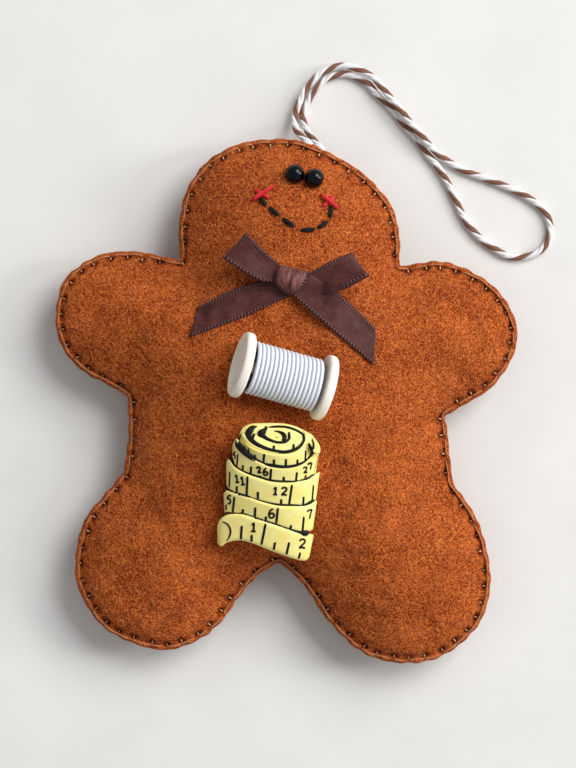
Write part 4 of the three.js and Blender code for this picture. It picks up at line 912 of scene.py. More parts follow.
# Both faces leave the seam by a smooth step of the inset and follow the skins, less the clearance; the rim is
# made of the sides that only one triangle has
def fillingShape():
    w, seam = wadding, figure["seamHeight"]
    inside = np.flatnonzero(netInset > figure["rings"][-2] - 0.01)
    count = len(inside)
    lookup = np.full(len(netPoints), -1)
    lookup[inside] = np.arange(count)
    faces = lookup[netFaces]
    faces = faces[(faces >= 0).all(axis=1)]
    room = between(*w["room"], netInset[inside])
    top = seam + w["gap"] + room * (frontOuter[inside, 2] - seam - w["clear"])
    low = seam - w["gap"] - room * (seam - backOuter[inside, 2] - w["clear"])
    sides = np.vstack([faces[:, [0, 1]], faces[:, [1, 2]], faces[:, [2, 0]]])
    code = sides.min(axis=1) * count + sides.max(axis=1)
    _, first, times = np.unique(code, return_index=True, return_counts=True)
    rim = sides[first[times == 1]]
    xy = netPoints[inside]
    return {"points": np.vstack([np.column_stack([xy, top]), np.column_stack([xy, low])]),
            "tris": np.vstack([faces, faces[:, ::-1] + count]),
            "quads": np.stack([rim[:, 1], rim[:, 0], rim[:, 0] + count, rim[:, 1] + count], -1)}


fibrePaint = cloudyMaterial("fibre filling", {"Roughness": 0.95, "Sheen Weight": 0.4}, wadding["colours"], 0.8, 6.0,
                            relief=wadding["relief"], Distortion=3.0)
filling = makePiece("filling", fillingShape(), "ornament", fibrePaint)
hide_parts("stuffing_torso", "stuffing_head", "stuffing_right_arm", "stuffing_right_leg",
            "stuffing_left_leg", "stuffing_left_arm")


# Sewn-in twine ends: both run down between the panels, pressed flat, to a small knot
twineTuck = {"feet": [(4.9, 45.2, 7.0), (3.3, 45.4, 7.0)], "bendAt": 0.45, "bendBy": (0.2, 0.0, 0.0), "steps": 40,
             "ply": 0.4, "sides": 7, "knotAt": (4.1, 43.4, 7.0), "knotSize": 0.75, "knotPly": 0.32, "knotSteps": 90,
             "press": 0.45}


# Each end bends once on its way. The knot is a trefoil: sin t + 2 sin 2t by cos t - 2 cos 2t, falling as sin 3t
def twineEnds():
    k = twineTuck
    quarters = np.arange(4) * np.pi / 2
    lines = []
    for start, foot in zip((twine["leadIn"], twine["leadOut"]), k["feet"]):
        start, foot = np.array(start), np.array(foot)
        bend = start * (1 - k["bendAt"]) + foot * k["bendAt"] + np.array(k["bendBy"])
        lines.append((smoothLine([start, bend, foot], k["steps"]), k["ply"]))
    t = np.linspace(0.0, 2 * np.pi, k["knotSteps"])
    trefoil = np.stack([np.sin(t) + 2 * np.sin(2 * t), np.cos(t) - 2 * np.cos(2 * t), -np.sin(3 * t)], -1)
    lines.append((np.array(k["knotAt"]) + k["knotSize"] * trefoil, k["knotPly"]))
    shape = together(*[sweep(path[None], ply, k["sides"]) for line, ply in lines
                       for path in plyLines(line, twine["pitch"], ply, quarters)])
    level = k["knotAt"][2]
    shape["points"][:, 2] = level + k["press"] * (shape["points"][:, 2] - level)
    shape["finish"] = shape["finish"] % 4 // 2
    return shape


twineKnot = makePiece("twineKnot", twineEnds(), "ornament", [whiteCotton, brownCotton])
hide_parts("twine_knot")


# Eye beads on one thread, which turns down into the felt beside each of them
beads = {"diameter": 3.8, "bore": 0.6, "line": (0.977, -0.2119, 0.0237), "around": 40, "arcSteps": 26, "boreSteps": 5,
         "colours": [(1, 2, 4), (3, 7, 11)],
         "thread": 0.4, "threadIn": 1.6, "threadOut": 1.9, "bend": (0.3, 0.9), "depth": 2.6}
beadPaint = cloudyMaterial("bead", {"Roughness": 0.06, "Specular IOR Level": 0.25}, beads["colours"], 0.6, 2.0)
beadLine = unit(np.array(beads["line"]))


# Bead: a profile of places along the line and off it, round the outside and back through the bore, turned about it
def beadShape(centre):
    start = np.arcsin(beads["bore"] / beads["diameter"])
    swing = np.linspace(start, np.pi - start, beads["arcSteps"])
    outside = np.stack([-np.cos(swing), np.sin(swing)], -1) * beads["diameter"] / 2
    along = np.linspace(outside[-1, 0], outside[0, 0], beads["boreSteps"])[1:-1]
    profile = np.vstack([outside, np.stack([along, np.full(len(along), beads["bore"] / 2)], -1)])
    up = unit(np.cross(beadLine, [0.0, 1.0, 0.0]))
    turn = np.linspace(0.0, 2 * np.pi, beads["around"], endpoint=False)
    out = np.cos(turn)[:, None] * up + np.sin(turn)[:, None] * np.cross(beadLine, up)
    points = centre + profile[:, None, :1] * beadLine + profile[:, None, 1:] * out
    return {"points": points.reshape(-1, 3), "quads": gridFaces(len(profile), beads["around"], True, True)}


beadCentre = {}
for side in ("left", "right"):
    low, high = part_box(side + "_eye_bead")
    beadCentre[side] = (np.array(low) + np.array(high)) / 2 / mm
    bead = makePiece(side + "EyeBead", beadShape(beadCentre[side]), side + "_eye", beadPaint)
    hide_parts(side + "_eye_bead")


floss = {"steps": 22, "sides": 8, "aim": 0.3, "diveSpan": 0.16, "diveDepth": 0.75, "twist": 7.0, "anyTurn": 6.28,
         "spread": 0.3, "strand": 0.21, "endShare": 0.45, "endSpan": 0.3, "thinShare": 0.4, "stray": 0.02}


# Embroidery floss: strands laid side by side in a slack twist, over the felt and down into it by a square at both
# ends, where they also draw together and thin out
def flossStitch(ends, lift, width, strands):
    f = floss
    a, b = seenOnFelt(ends, f["aim"])
    t = np.linspace(0.0, 1.0, f["steps"])
    toEnd = np.minimum(t, 1 - t)
    path = a[:2] * (1 - t[:, None]) + b[:2] * t[:, None]
    dive = 1.0 - np.minimum(1.0, toEnd / f["diveSpan"])
    path = np.column_stack([path, heightAt(feltGrid, path) + lift - (lift + f["diveDepth"]) * dive ** 2])
    phases = np.arange(strands) * 2 * np.pi / strands + chance.uniform(0, f["anyTurn"])
    lines = plyLines(path, f["twist"], width * f["spread"], phases)
    taper = f["endShare"] + (1 - f["endShare"]) * between(0.0, f["endSpan"], toEnd)
    lines = path + (lines - path) * taper[:, None] + chance.normal(0.0, f["stray"], (strands, 1, 3))
    return sweep(lines, width * f["strand"] * (f["thinShare"] + (1 - f["thinShare"]) * taper), f["sides"])


# Face: the two ends of each stitch in the picture, and how high a cheek's stitch stands over the felt
face = {
    "smile": [((260, 198.1), (266.1, 205.3)), ((269.3, 207.4), (278.8, 215.3)), ((282.5, 218.2), (294, 226.8)),
              ((300.7, 230.2), (315, 229.2)), ((318.2, 228.1), (327.9, 221.2)), ((330, 217.2), (331.5, 205.9))],
    "cheeks": {"left_cheek_under_stitch": (((253.3, 189.3), (270, 198.3)), 0.3),
               "left_cheek_over_stitch": (((250.9, 201), (273.6, 185.5)), 0.85),
               "right_cheek_under_stitch": (((321.9, 207.4), (335.1, 195.4)), 0.3),
               "right_cheek_over_stitch": (((320.3, 193.8), (338.6, 209)), 0.85)},
    "smileLift": 0.35, "smileWidth": 0.92, "smileStrands": 6, "cheekWidth": 0.86, "cheekStrands": 5,
    "black": {"dark": (2, 2, 2), "light": (13, 12, 11), "ridges": 3, "pitch": -1.6, "rough": 0.75,
              "relief": 0.04, "sheen": 0.0},
    "red": {"dark": (140, 6, 14), "light": (240, 34, 44), "ridges": 3, "pitch": -1.6, "rough": 0.45,
            "relief": 0.04, "sheen": 0.08},
}
blackFloss = threadMaterial("black floss", face["black"])
redFloss = threadMaterial("red floss", face["red"])
for k, ends in enumerate(face["smile"]):
    stitch = flossStitch(ends, face["smileLift"], face["smileWidth"], face["smileStrands"])
    dash = makePiece("smileStitch%d" % (k + 1), stitch, "ornament", blackFloss)
    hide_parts("smile_stitch_%d" % (k + 1))
for node, (ends, lift) in face["cheeks"].items():
    words = node.split("_")
    stitch = flossStitch(ends, lift, face["cheekWidth"], face["cheekStrands"])
    cross = makePiece(words[0] + words[1].title() + words[2].title(), stitch, "ornament", redFloss)
    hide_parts(node)


# Bead thread: along the line through both beads, then over a bend and down into the felt on either side
def beadThread():
    ends = []
    for side, way in (("left", -beadLine), ("right", beadLine)):
        centre = beadCentre[side]
        last = centre + way * beads["threadOut"]
        bend = last - [0, 0, beads["bend"][1]] - way * beads["bend"][0]
        ends.append([centre, centre + way * beads["threadIn"], bend, last - [0, 0, beads["depth"]]])
    return smoothLine(ends[0][::-1] + ends[1], 60)


eyeThread = makePiece("eyeThread", sweep(beadThread()[None], beads["thread"] / 2, 8, (0, 1, 0)), "ornament",
                      blackFloss)
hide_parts("eye_thread")
print("face made")


# Ribbon: a strip between two edge lines with a little thickness, closed all round, its middle raised as a parabola
# and kept off the felt. Each point keeps how far it is across, from -1 to 1, whether its selvage is hidden there by
# another ribbon, and how far along it is
def ribbonShape(left, right, thick, belly=0.0, rest=None, plain=(0.0, 0.0), cols=15):
    v = np.linspace(0.0, 1.0, cols)[None, :, None]
    sheet = left[:, None] * (1 - v) + right[:, None] * v
    out = unit(np.cross(np.gradient(sheet, axis=0), np.gradient(sheet, axis=1)))
    sheet = sheet + out * belly * (1 - (2 * v - 1) ** 2)
    if rest is not None:
        sheet[..., 2] = np.maximum(sheet[..., 2], heightAt(feltGrid, sheet) + rest)
    out = unit(np.cross(np.gradient(sheet, axis=0), np.gradient(sheet, axis=1)))
    along = lengthAlong(sheet[:, cols // 2])[:, None]
    hidden = along < np.where(v[..., 0] < 0.5, plain[0], plain[1])
    lay = np.stack(np.broadcast_arrays(2 * v[..., 0] - 1, 1.0 * hidden, along), -1).reshape(-1, 3)
    shape = closedSheet(sheet - out * thick / 2, sheet + out * thick / 2)
    shape["lay"] = np.vstack([lay, lay])
    return shape


# Satin: a dark brown cloth whose fine ribs are woven in and painted lighter and darker as their sheen, with a
# row of small light loops near both edges
ribbonPaint = {"dark": (52, 25, 23), "body": (80, 43, 40), "light": (106, 64, 60), "stops": (0.48, 0.7, 0.94),
               "ribs": (26.0, 1.0, 0.55), "ribShare": 0.9, "patch": 0.35, "patchShare": 0.5,
               "dots": (118, 80, 80), "gaps": (36, 17, 16), "dotPitch": 0.66, "dotSpan": (-0.2, 0.5),
               "dotRow": (0.78, 0.83, 0.92, 0.97), "dotLift": 2.0, "relief": 0.05}
# The knot's satin: the same cloth painted lighter, a painted sheen for the light its tight folds catch
knotPaintedSheen = {**ribbonPaint, "dark": (66, 34, 32), "body": (96, 56, 53), "light": (150, 104, 100)}


# Ribs are a noise drawn out along the ribbon, painted lighter and darker as their sheen. The loops are a sine
# along it, within a row at a distance from the middle, less where the selvage is hidden
def satinMaterial(name, s):
    material, tree, shader = newMaterial(name, {
        "Roughness": 0.45, "Specular IOR Level": 0.15, "Sheen Weight": 0.04, "Sheen Roughness": 0.4})
    lay, (aside, hidden, along) = layOf(tree)
    stretch = addNode(tree, "ShaderNodeMapping", {"Vector": lay, "Scale": s["ribs"]}).outputs[0]
    ribs = noise(tree, stretch, 1.0, 4.0)
    patch = maths(tree, "MULTIPLY", noise(tree, placeInMm(tree), s["patch"], 3.0), s["patchShare"])
    level = maths(tree, "MULTIPLY_ADD", ribs, s["ribShare"], patch)
    low, middle, high = s["stops"]
    cloth = ramp(tree, level, [(low, s["dark"]), (high, s["light"]), (middle, s["body"])])
    beat = maths(tree, "SINE", maths(tree, "MULTIPLY", along, 2 * np.pi / s["dotPitch"]))
    beat = spanned(tree, beat, *s["dotSpan"])
    across = maths(tree, "ABSOLUTE", aside)
    inner, innerFull, outerFull, outer = s["dotRow"]
    row = maths(tree, "MULTIPLY", spanned(tree, across, inner, innerFull), spanned(tree, across, outer, outerFull))
    row = maths(tree, "SUBTRACT", row, hidden, clamp=True)
    dots = maths(tree, "MULTIPLY", row, beat)
    gaps = maths(tree, "SUBTRACT", row, dots)
    shown = cloth
    for share, tone in ((gaps, s["gaps"]), (dots, s["dots"])):
        blend = {"Factor": share, "A": shown, "B": (*colour(*tone), 1.0)}
        shown = addNode(tree, "ShaderNodeMix", blend, data_type="RGBA").outputs["Result"]
    tree.links.new(shown, shader.inputs["Base Color"])
    bump(tree, shader, maths(tree, "MULTIPLY_ADD", dots, s["dotLift"], ribs), s["relief"])
    return material


satin = satinMaterial("satin", ribbonPaint)


# Line in space through spots of the picture, each with its own height, in so many even steps
def seenLine(spots, count):
    spots = np.asarray(spots, float)
    return smoothLine(seen(spots[:, 0], spots[:, 1], spots[:, 2]), count)


# Bow: the two edges of each stretch as spots of the picture, with their height, or for the tails their height over
# the felt; the plain lengths of either edge are hidden under another ribbon
bow = {
    "thick": 0.26, "rest": 0.3, "loopBelly": 0.25, "tailBelly": 0.12, "loopSteps": 90, "tailSteps": 60,
    "plainLoop": {"left": (0.0, 0.0), "right": (0.0, 6.3)}, "plainTail": {"left": (0.0, 0.0), "right": (8.4, 0.0)},
    "leftLoopTop": ([(281, 266, 19.6), (263, 250, 20.6), (248.5, 235.5, 20.5)],
                    [(280, 283, 19.0), (272, 282.0, 19.4), (261.5, 281.2, 20.0), (250.5, 275.8, 20.6),
                     (225, 259.6, 20.6)]),
    "leftLoopEnd": ([(245.6, 232.7, 19.9), (247.0, 234.0, 19.2)], [(222.4, 256.9, 19.9), (224.0, 258.6, 19.2)]),
    "leftLoopUnder": ([(262, 250, 18.5), (281, 268, 18.4)], [(250, 272, 18.3), (279, 281, 18.2)]),
    "rightLoopTop": ([(306, 288, 18.9), (322, 294.5, 19.2), (338.5, 289.5, 20.6), (367, 276.4, 21.3)],
                     [(308, 274.5, 19.6), (328, 262.5, 20.3), (349.5, 253.2, 19.9)]),
    "rightLoopEnd": ([(369.6, 276.2, 20.9), (368.2, 276.8, 19.9)], [(351.9, 252.4, 19.4), (350.2, 253.4, 18.8)]),
    "rightLoopUnder": ([(340, 290, 18.9), (306, 286, 18.4)], [(328, 263, 18.4), (308, 276, 18.4)]),
    "leftTail": ([(287.5, 281, 0.9), (251.3, 283.2, 0.55), (198.4, 306.6, 0.45)],
                 [(289, 296.0, 0.8), (250, 314.5, 0.5), (189.5, 337.2, 0.4)]),
    "rightTail": ([(293.4, 296.2, 1.6), (330, 328.4, 0.6), (373.8, 365.3, 0.4)],
                  [(309.5, 274.2, 2.35), (336.8, 292.0, 1.85), (356, 309.0, 0.8), (375.7, 328.3, 0.5)]),
}


# Loop: out along the top, round the fold and back underneath to the knot
def loopEdges(side):
    parts = [bow[side + "LoopTop"], bow[side + "LoopEnd"], bow[side + "LoopUnder"]]
    return [seenLine([spot for part in parts for spot in part[k]], bow["loopSteps"]) for k in range(2)]


# Tail: both edges lie on the felt, each at its own small height above it
def tailEdges(side):
    edges = [np.array(spots) for spots in bow[side + "Tail"]]
    return [smoothLine(seenOnFelt(spots[:, :2], spots[:, 2]), bow["tailSteps"]) for spots in edges]


for side in ("left", "right"):
    upper, lower = loopEdges(side)
    loopShape = ribbonShape(lower, upper, bow["thick"], bow["loopBelly"], None, bow["plainLoop"][side])
    loop = makePiece(side + "Loop", loopShape, "ornament", satin)
    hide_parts("bow_%s_loop" % side)
    upper, lower = tailEdges(side)
    tailShape = ribbonShape(lower, upper, bow["thick"], bow["tailBelly"], bow["rest"], bow["plainTail"][side])
    tail = makePiece(side + "Tail", tailShape, side + "_tail", satin)
    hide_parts("bow_%s_tail" % side)


# Knot: a band of ribbon drawn tight over the crossing, wide at the top, gathered in folds towards the foot.
# Each fold has its place across the band, its width and its height, and drifts across on the way down
knot = {
    "left": [(279.6, 264.6, 18.6), (274.6, 272.5, 19.4), (274.8, 281.5, 19.3), (283, 292, 18.7),
             (289.5, 296.0, 18.0)],
    "right": [(310.3, 272.0, 18.6), (308.0, 278.5, 19.3), (303.0, 286.5, 19.2), (298.3, 293.0, 18.6),
              (294.0, 296.4, 18.0)],
    "rise": 2.0, "thick": 0.25, "length": 5.6, "selvage": (0.7, 0.96), "steps": 44, "cols": 40,
    "folds": [(0.16, 0.05, 0.22), (0.42, 0.05, -0.34), (0.56, 0.05, 0.22), (0.80, 0.06, -0.26)], "drift": 0.08,
}


# The band's height swells like a half circle over the crossing, and each fold adds or takes a narrow ridge
def knotShape():
    k = knot
    left, right = seenLine(k["left"], k["steps"]), seenLine(k["right"], k["steps"])
    u = np.linspace(0.0, 1.0, k["cols"])[None, :]
    v = np.linspace(0.0, 1.0, k["steps"])[:, None]
    sheet = left[:, None] * (1 - u[..., None]) + right[:, None] * u[..., None]
    lift = k["rise"] * np.sin(np.pi * v) ** 0.55 * (1 - np.abs(2 * u - 1) ** 2.6) ** 0.6
    for at, width, height in k["folds"]:
        off = u + k["drift"] * np.sin(2.5 * v + 9 * at) - at
        lift = lift + height * np.exp(-(off / width) ** 2) * np.sin(np.pi * v) ** 0.5
    shape = closedSheet(sheet - [0, 0, k["thick"]], np.dstack([sheet[..., :2], sheet[..., 2] + lift]))
    across = (2 * u - 1) * np.where(u > 0.5, k["selvage"][1], k["selvage"][0])
    lay = np.stack(np.broadcast_arrays(across, 0.0 * u, k["length"] * v), -1).reshape(-1, 3)
    shape["lay"] = np.vstack([lay, lay])
    return shape


# the knot wears the lighter satin, its painted sheen
bowKnot = makePiece("bowKnot", knotShape(), "ornament", satinMaterial("knot satin painted sheen", knotPaintedSheen))
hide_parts("bow_knot")
print("bow made")


# Spool button: a reel cut flat at the back, leaning with its left end up, and thread wound close on it
spool = {
    "place": (-1.6, 5.2, 18.3), "turn": -15.6, "lean": 12.0, "relief": 0.7, "axisHeight": 2.6, "leanShift": 1.05,
    "length": 18.8, "radius": 6.5, "flange": 1.85, "dish": 0.75, "lip": 1.15, "lipDrop": 0.35, "lipFoot": 1.35,
    "outerRound": (0.75, 0.6), "innerRound": 0.55, "innerFlat": 1.2, "coreRadius": 1.1, "coreRound": (0.25, 0.3),
    "axisGap": 0.02, "roundSteps": 6, "sides": 72, "shankAt": (-1.6, 5.2, 18.4), "shankAlong": (0.96, -0.27, 0),
    "turns": 16, "turnSteps": 56, "thread": 0.9, "threadSides": 9, "windRadius": 4.75, "windShift": 0.08,
    "windRoom": (0.62, 0.2), "endDive": 1.6, "endTurn": 0.12,
    "ivory": {"colours": [(238, 227, 210), (251, 246, 235)], "rough": 0.38},
    # silvery thread at levels 0, 1, 0.42 and 0.8: painted shade, painted highlight, and the thread's own grey-blue
    # between
    "silverPaintedLight": [(126, 128, 138), (252, 252, 254), (190, 197, 211), (212, 218, 230)],
}


# Reel frame to the ornament: lean about its cross axis, flatten the relief, cut at the back, turn and set down
def spoolPlace(points):
    s = spool
    a, t = np.radians(s["lean"]), np.radians(s["turn"])
    x = points[:, 0] * np.cos(a) + points[:, 2] * np.sin(a) + s["leanShift"]
    z = (points[:, 2] * np.cos(a) - points[:, 0] * np.sin(a)) * s["relief"] + s["axisHeight"]
    z = np.maximum(z, 0.0)
    y = points[:, 1]
    return np.stack([x * np.cos(t) - y * np.sin(t), x * np.sin(t) + y * np.cos(t), z], -1) + np.array(s["place"])


# Reel: a profile from the middle of one dished face, over its lip and both rounded edges of the flange to the core,
# and the same mirrored, turned about the axis
def reelShape():
    s = spool
    end, r, dish, core = -s["length"] / 2, s["radius"], s["dish"], s["coreRadius"]
    inner = end + s["flange"]
    bend = np.radians(np.linspace(0, 90, s["roundSteps"]))
    (deep, wide), small, (fillet, shoulder) = s["outerRound"], s["innerRound"], s["coreRound"]
    half = np.vstack([
        [[end + dish, s["axisGap"]], [end + dish, r * 0.5], [end + dish * 0.9, r - s["lipFoot"]]],
        np.stack([end + dish * 0.45 * (1 - np.sin(bend)), r - s["lip"] + s["lipDrop"] * (1 - np.cos(bend))], -1),
        np.stack([end + deep * (1 - np.cos(bend)), r - wide * (1 - np.sin(bend))], -1),
        np.stack([inner - small * (1 - np.sin(bend)), r - small * (1 - np.cos(bend))], -1),
        [[inner, r - s["innerFlat"]], [inner, core + shoulder], [inner + fillet, core]]])
    profile = np.vstack([half, (half * [-1, 1])[::-1]])
    turn = np.linspace(0.0, 2 * np.pi, s["sides"], endpoint=False)
    x, off = profile[:, :1], profile[:, 1:]
    points = np.stack(np.broadcast_arrays(x, off * np.cos(turn), off * np.sin(turn)), -1)
    return {"points": spoolPlace(points.reshape(-1, 3)), "quads": gridFaces(len(profile), s["sides"], loopCols=True),
            "tris": lids(len(profile), s["sides"])}


# Thread: a helix of close turns whose ends dive to the core; the path is set on the reel, and the tube is swept
# after the relief is flattened
def windingShape():
    s = spool
    span = s["length"] / 2 - s["flange"] - s["thread"] * s["windRoom"][0] - s["windRoom"][1]
    t = np.linspace(0.0, 1.0, s["turns"] * s["turnSteps"] + 1)
    angle = 2 * np.pi * s["turns"] * t - np.pi / 2
    reach = s["windRadius"] - s["endDive"] * (1 - between(0.0, s["endTurn"] / s["turns"], np.minimum(t, 1 - t)))
    across = s["windShift"] + (2 * t - 1) * span
    placed = spoolPlace(np.stack([across, reach * np.cos(angle), reach * np.sin(angle)], -1))
    middle = spoolPlace(np.stack([across, 0 * t, 0 * t], -1))
    outwards = unit(placed - middle).reshape(1, -1, 3)
    return sweep(placed[None], s["thread"] / 2, s["threadSides"], across=outwards)


# Moulded resin: a faint warm cloud and a fine grain
def mouldedMaterial(name, resin):
    finish = {"Roughness": resin["rough"], "Specular IOR Level": 0.45}
    material = cloudyMaterial(name, finish, resin["colours"], 0.35, 4.0)
    tree = material.node_tree
    bump(tree, tree.nodes["Principled BSDF"], noise(tree, placeInMm(tree), 2.5, 2.0), 0.03)
    return material


shank = {"depth": 4.6, "width": 3.2, "thick": 1.0, "steps": 24, "sides": 10,
         "barLength": 0.95, "barThick": 0.9, "barSteps": 12, "barSides": 8}


# Loop under a button: a half ring of its own stuff, through which a few turns of thread are sewn
def shankLoop(at, along):
    t = np.linspace(0.0, np.pi, shank["steps"])[:, None]
    ring = np.array(at) + np.cos(t) * np.array(along) * shank["width"] / 2 - np.sin(t) * [0, 0, shank["depth"]]
    return sweep(ring[None], shank["thick"] / 2, shank["sides"], np.cross(along, [0, 0, 1.0]))


# Sewing thread through a shank: a straight bar along the longest side of its solid's box, as thick as the next one
def sewnThread(name, node):
    low, high = (np.array(v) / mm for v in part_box(node))
    middle, reach = (low + high) / 2, (high - low) / 2
    long = np.eye(3)[reach.argmax()] * reach.max() * shank["barLength"]
    path = middle + np.linspace(-1, 1, shank["barSteps"])[:, None] * long
    bar = sweep(path[None], np.sort(reach)[1] * shank["barThick"], shank["barSides"], (0.3, 0.5, 0.8))
    piece = makePiece(name, bar, "ornament", blackFloss)
    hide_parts(node)


# Silvery thread: painted highlight on the outer side of each turn and painted shade where two turns meet,
# broken up by its fibres
def silverPaintedLightMaterial():
    material, tree, shader = newMaterial("silvery thread", {
        "Roughness": 0.42, "Specular IOR Level": 0.35, "Sheen Weight": 0.1})
    _, (_, outwards, _) = layOf(tree)
    wave = twistWave(tree, 4, -1.5)
    # level rises from painted shade at the sides of each turn to painted highlight on its top
    level = spanned(tree, outwards, 0.1, 0.95)
    level = maths(tree, "MULTIPLY_ADD", noise(tree, placeInMm(tree), 2.6, 4.0), 0.5, level)
    level = spanned(tree, maths(tree, "MULTIPLY_ADD", wave, 0.12, level), 0.2, 1.4)
    paint(tree, shader, level, zip((0.0, 1.0, 0.42, 0.8), spool["silverPaintedLight"]))
    bump(tree, shader, wave, 0.04)
    return material


ivory = mouldedMaterial("ivory", spool["ivory"])
silverPaintedLight = silverPaintedLightMaterial()
reelAndShank = together(reelShape(), shankLoop(spool["shankAt"], spool["shankAlong"]))
spoolReel = makePiece("spoolReel", reelAndShank, "spool_button", ivory)
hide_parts("spool_reel")
winding = makePiece("winding", windingShape(), "spool_button", silverPaintedLight)
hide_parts("spool_winding")
sewnThread("spoolSewing", "spool_sewing_thread")
print("spool made")


# Tape button: five levels of a coiled tape in relief on a flat back, the spiral of its top, and black strokes
# that are partly printed ink and partly painted shade in the coil's gaps.
# Each level's foot and head are lines over the picture from left to right; its depth is at foot and at head.
# A round block's depth is at its near and at its far side
tape = {
    "back": (-3.5, -17.5, 17.1), "tilt": 9.0, "shankAt": (-3.5, -17.4, 17.3), "shankAlong": (1.0, 0, 0),
    "yellow": {"colours": [(250, 229, 130), (255, 246, 160)], "rough": 0.42},
    "levelSteps": (15, 61), "lip": 0.3, "lipSpan": (0.12, 0.14), "drum": 2.2, "drumFoot": 0.28,
    "blockSteps": (12, 72), "rimDrop": 0.35, "rimSpan": 0.1, "gridStep": 0.15,
    "levels": [
        {"foot": [(217.4, 543.0), (220.7, 546.6), (226.9, 542.6), (240.9, 540.4), (251.2, 542.9), (274.0, 551.8),
                  (298.2, 559.9), (305.5, 560.6), (309.3, 557.4)],
         "head": [(217.0, 525.6), (220.3, 519.5), (227.6, 515.0), (241.6, 514.3), (255.0, 518.0), (276.2, 524.6),
                  (293.0, 530.4), (303.0, 533.0), (313.7, 535.0)], "depth": (3.3, 4.5)},
        {"foot": [(224.6, 512.6), (233, 513.5), (242, 515.2), (254, 518.6), (276.2, 525.4), (291, 530.2),
                  (302, 533.0), (308, 532.4), (313.0, 529.0)],
         "head": [(223.4, 494.0), (226.5, 490.6), (232, 492.5), (246.8, 496.2), (258, 500.6), (277.6, 505.6),
                  (290, 506.2), (303.5, 505.6), (317.0, 501.0)], "depth": (4.1, 5.3)},
        {"foot": [(226.4, 486.0), (230, 490.5), (238, 494.6), (247.5, 497.6), (258, 501.0), (277.6, 506.2),
                  (290, 506.8), (304, 506.0), (315.8, 500.6)],
         "head": [(226.3, 462.4), (228.5, 459.2), (234.0, 466.6), (248.6, 474.6), (260, 478.2), (271.1, 481.4),
                  (285.2, 482.6), (300, 481.0), (319.9, 472.0)], "depth": (4.9, 6.1)},
        {"foot": [(232.6, 457.0), (235.5, 465.0), (241, 470.6), (249, 475.0), (260, 478.8), (271.1, 482.0),
                  (285.2, 483.2), (300, 481.8), (315.6, 474.2)],
         "head": [(232.4, 445.0), (236.5, 438.6), (243, 449.4), (252, 457.4), (264, 464.2), (278, 467.8),
                  (291, 467.6), (303, 463.4), (319.6, 448.6)], "depth": (5.7, 6.8)},
        {"foot": [(239.4, 445.5), (243, 450.6), (249, 456.0), (258, 462.0), (268, 465.8), (280, 468.4), (293, 467.6),
                  (304, 463.2), (314.6, 450.5)],
         "head": [(239.6, 433.2), (243.4, 439.6), (250, 446.2), (259, 450.6), (270, 453.4), (281, 454.3),
                  (293, 452.2), (303, 447.2), (313.4, 438.0)], "depth": (6.4, 7.4)},
    ],
    "topRim": [(239.6, 433.2), (243.4, 439.6), (250, 446.2), (259, 450.6), (270, 453.4), (281, 454.3), (293, 452.2),
               (303, 447.2), (313.4, 438.0), (313.0, 436.0), (305, 431.0), (295, 426.2), (284, 423.6), (273, 423.0),
               (260, 423.2), (250, 424.0), (243, 427.6)],
    "rightShoulder": [(302.7, 430.5), (310, 434.6), (316.2, 440.4), (319.9, 446.6), (319.6, 453.0), (314.6, 453.4),
                      (311.4, 446.0), (306.8, 439.0)],
    "topDepth": (7.4, 3.4), "shoulderDepth": (6.6, 4.6),
}


# Height of the flat back under a place
def tapeBack(place):
    return tape["back"][2] + np.tan(np.radians(tape["tilt"])) * (place[..., 1] - tape["back"][1])


# Relief block: a skin of given depth over the flat back, with walls down to it and a closed foot
def reliefBlock(spots, depth):
    xy = seenOn(lambda place: tapeBack(place) + depth, spots, 21.5, 3)
    grow = np.pad(xy, ((1, 1), (1, 1), (0, 0)), mode="edge")
    base = tapeBack(grow)
    skin = grow.copy()
    skin[1:-1, 1:-1, 2] = xy[..., 2]
    skin[0, :, 2], skin[-1, :, 2], skin[:, 0, 2], skin[:, -1, 2] = base[0], base[-1], base[:, 0], base[:, -1]
    rows, cols = base.shape
    number = np.arange(rows * cols).reshape(rows, cols)
    lower = number + rows * cols
    lower[0], lower[-1], lower[:, 0], lower[:, -1] = number[0], number[-1], number[:, 0], number[:, -1]
    faces = gridFaces(rows, cols)
    quads = np.vstack([faces[:, ::-1], lower.ravel()[faces]])
    points = np.vstack([skin.reshape(-1, 3), np.dstack([grow[..., :2], base]).reshape(-1, 3)])
    used, compact = np.unique(quads, return_inverse=True)
    return {"points": points[used], "quads": compact.reshape(-1, 4)}


# One level: straight lines from its foot to its head, rounded across like a drum and at its two lips by a square
def levelBlock(level):
    rows, cols = tape["levelSteps"]
    foot, head = smoothLine(level["foot"], cols), smoothLine(level["head"], cols)
    v = np.linspace(0.0, 1.0, rows)[:, None]
    t = np.linspace(-1.0, 1.0, cols)[None, :]
    spots = foot[None] * (1 - v[..., None]) + head[None] * v[..., None]
    low, high = level["depth"]
    atFoot, atHead = tape["lipSpan"]
    lip = tape["lip"] * (np.clip(1 - v / atFoot, 0, 1) ** 2 + np.clip(1 - (1 - v) / atHead, 0, 1) ** 2)
    drum = np.maximum(1 - np.abs(t) ** tape["drum"], 0.0) ** 0.5
    depth = (low + (high - low) * v) * (tape["drumFoot"] + (1 - tape["drumFoot"]) * drum) - lip
    return reliefBlock(spots, depth)


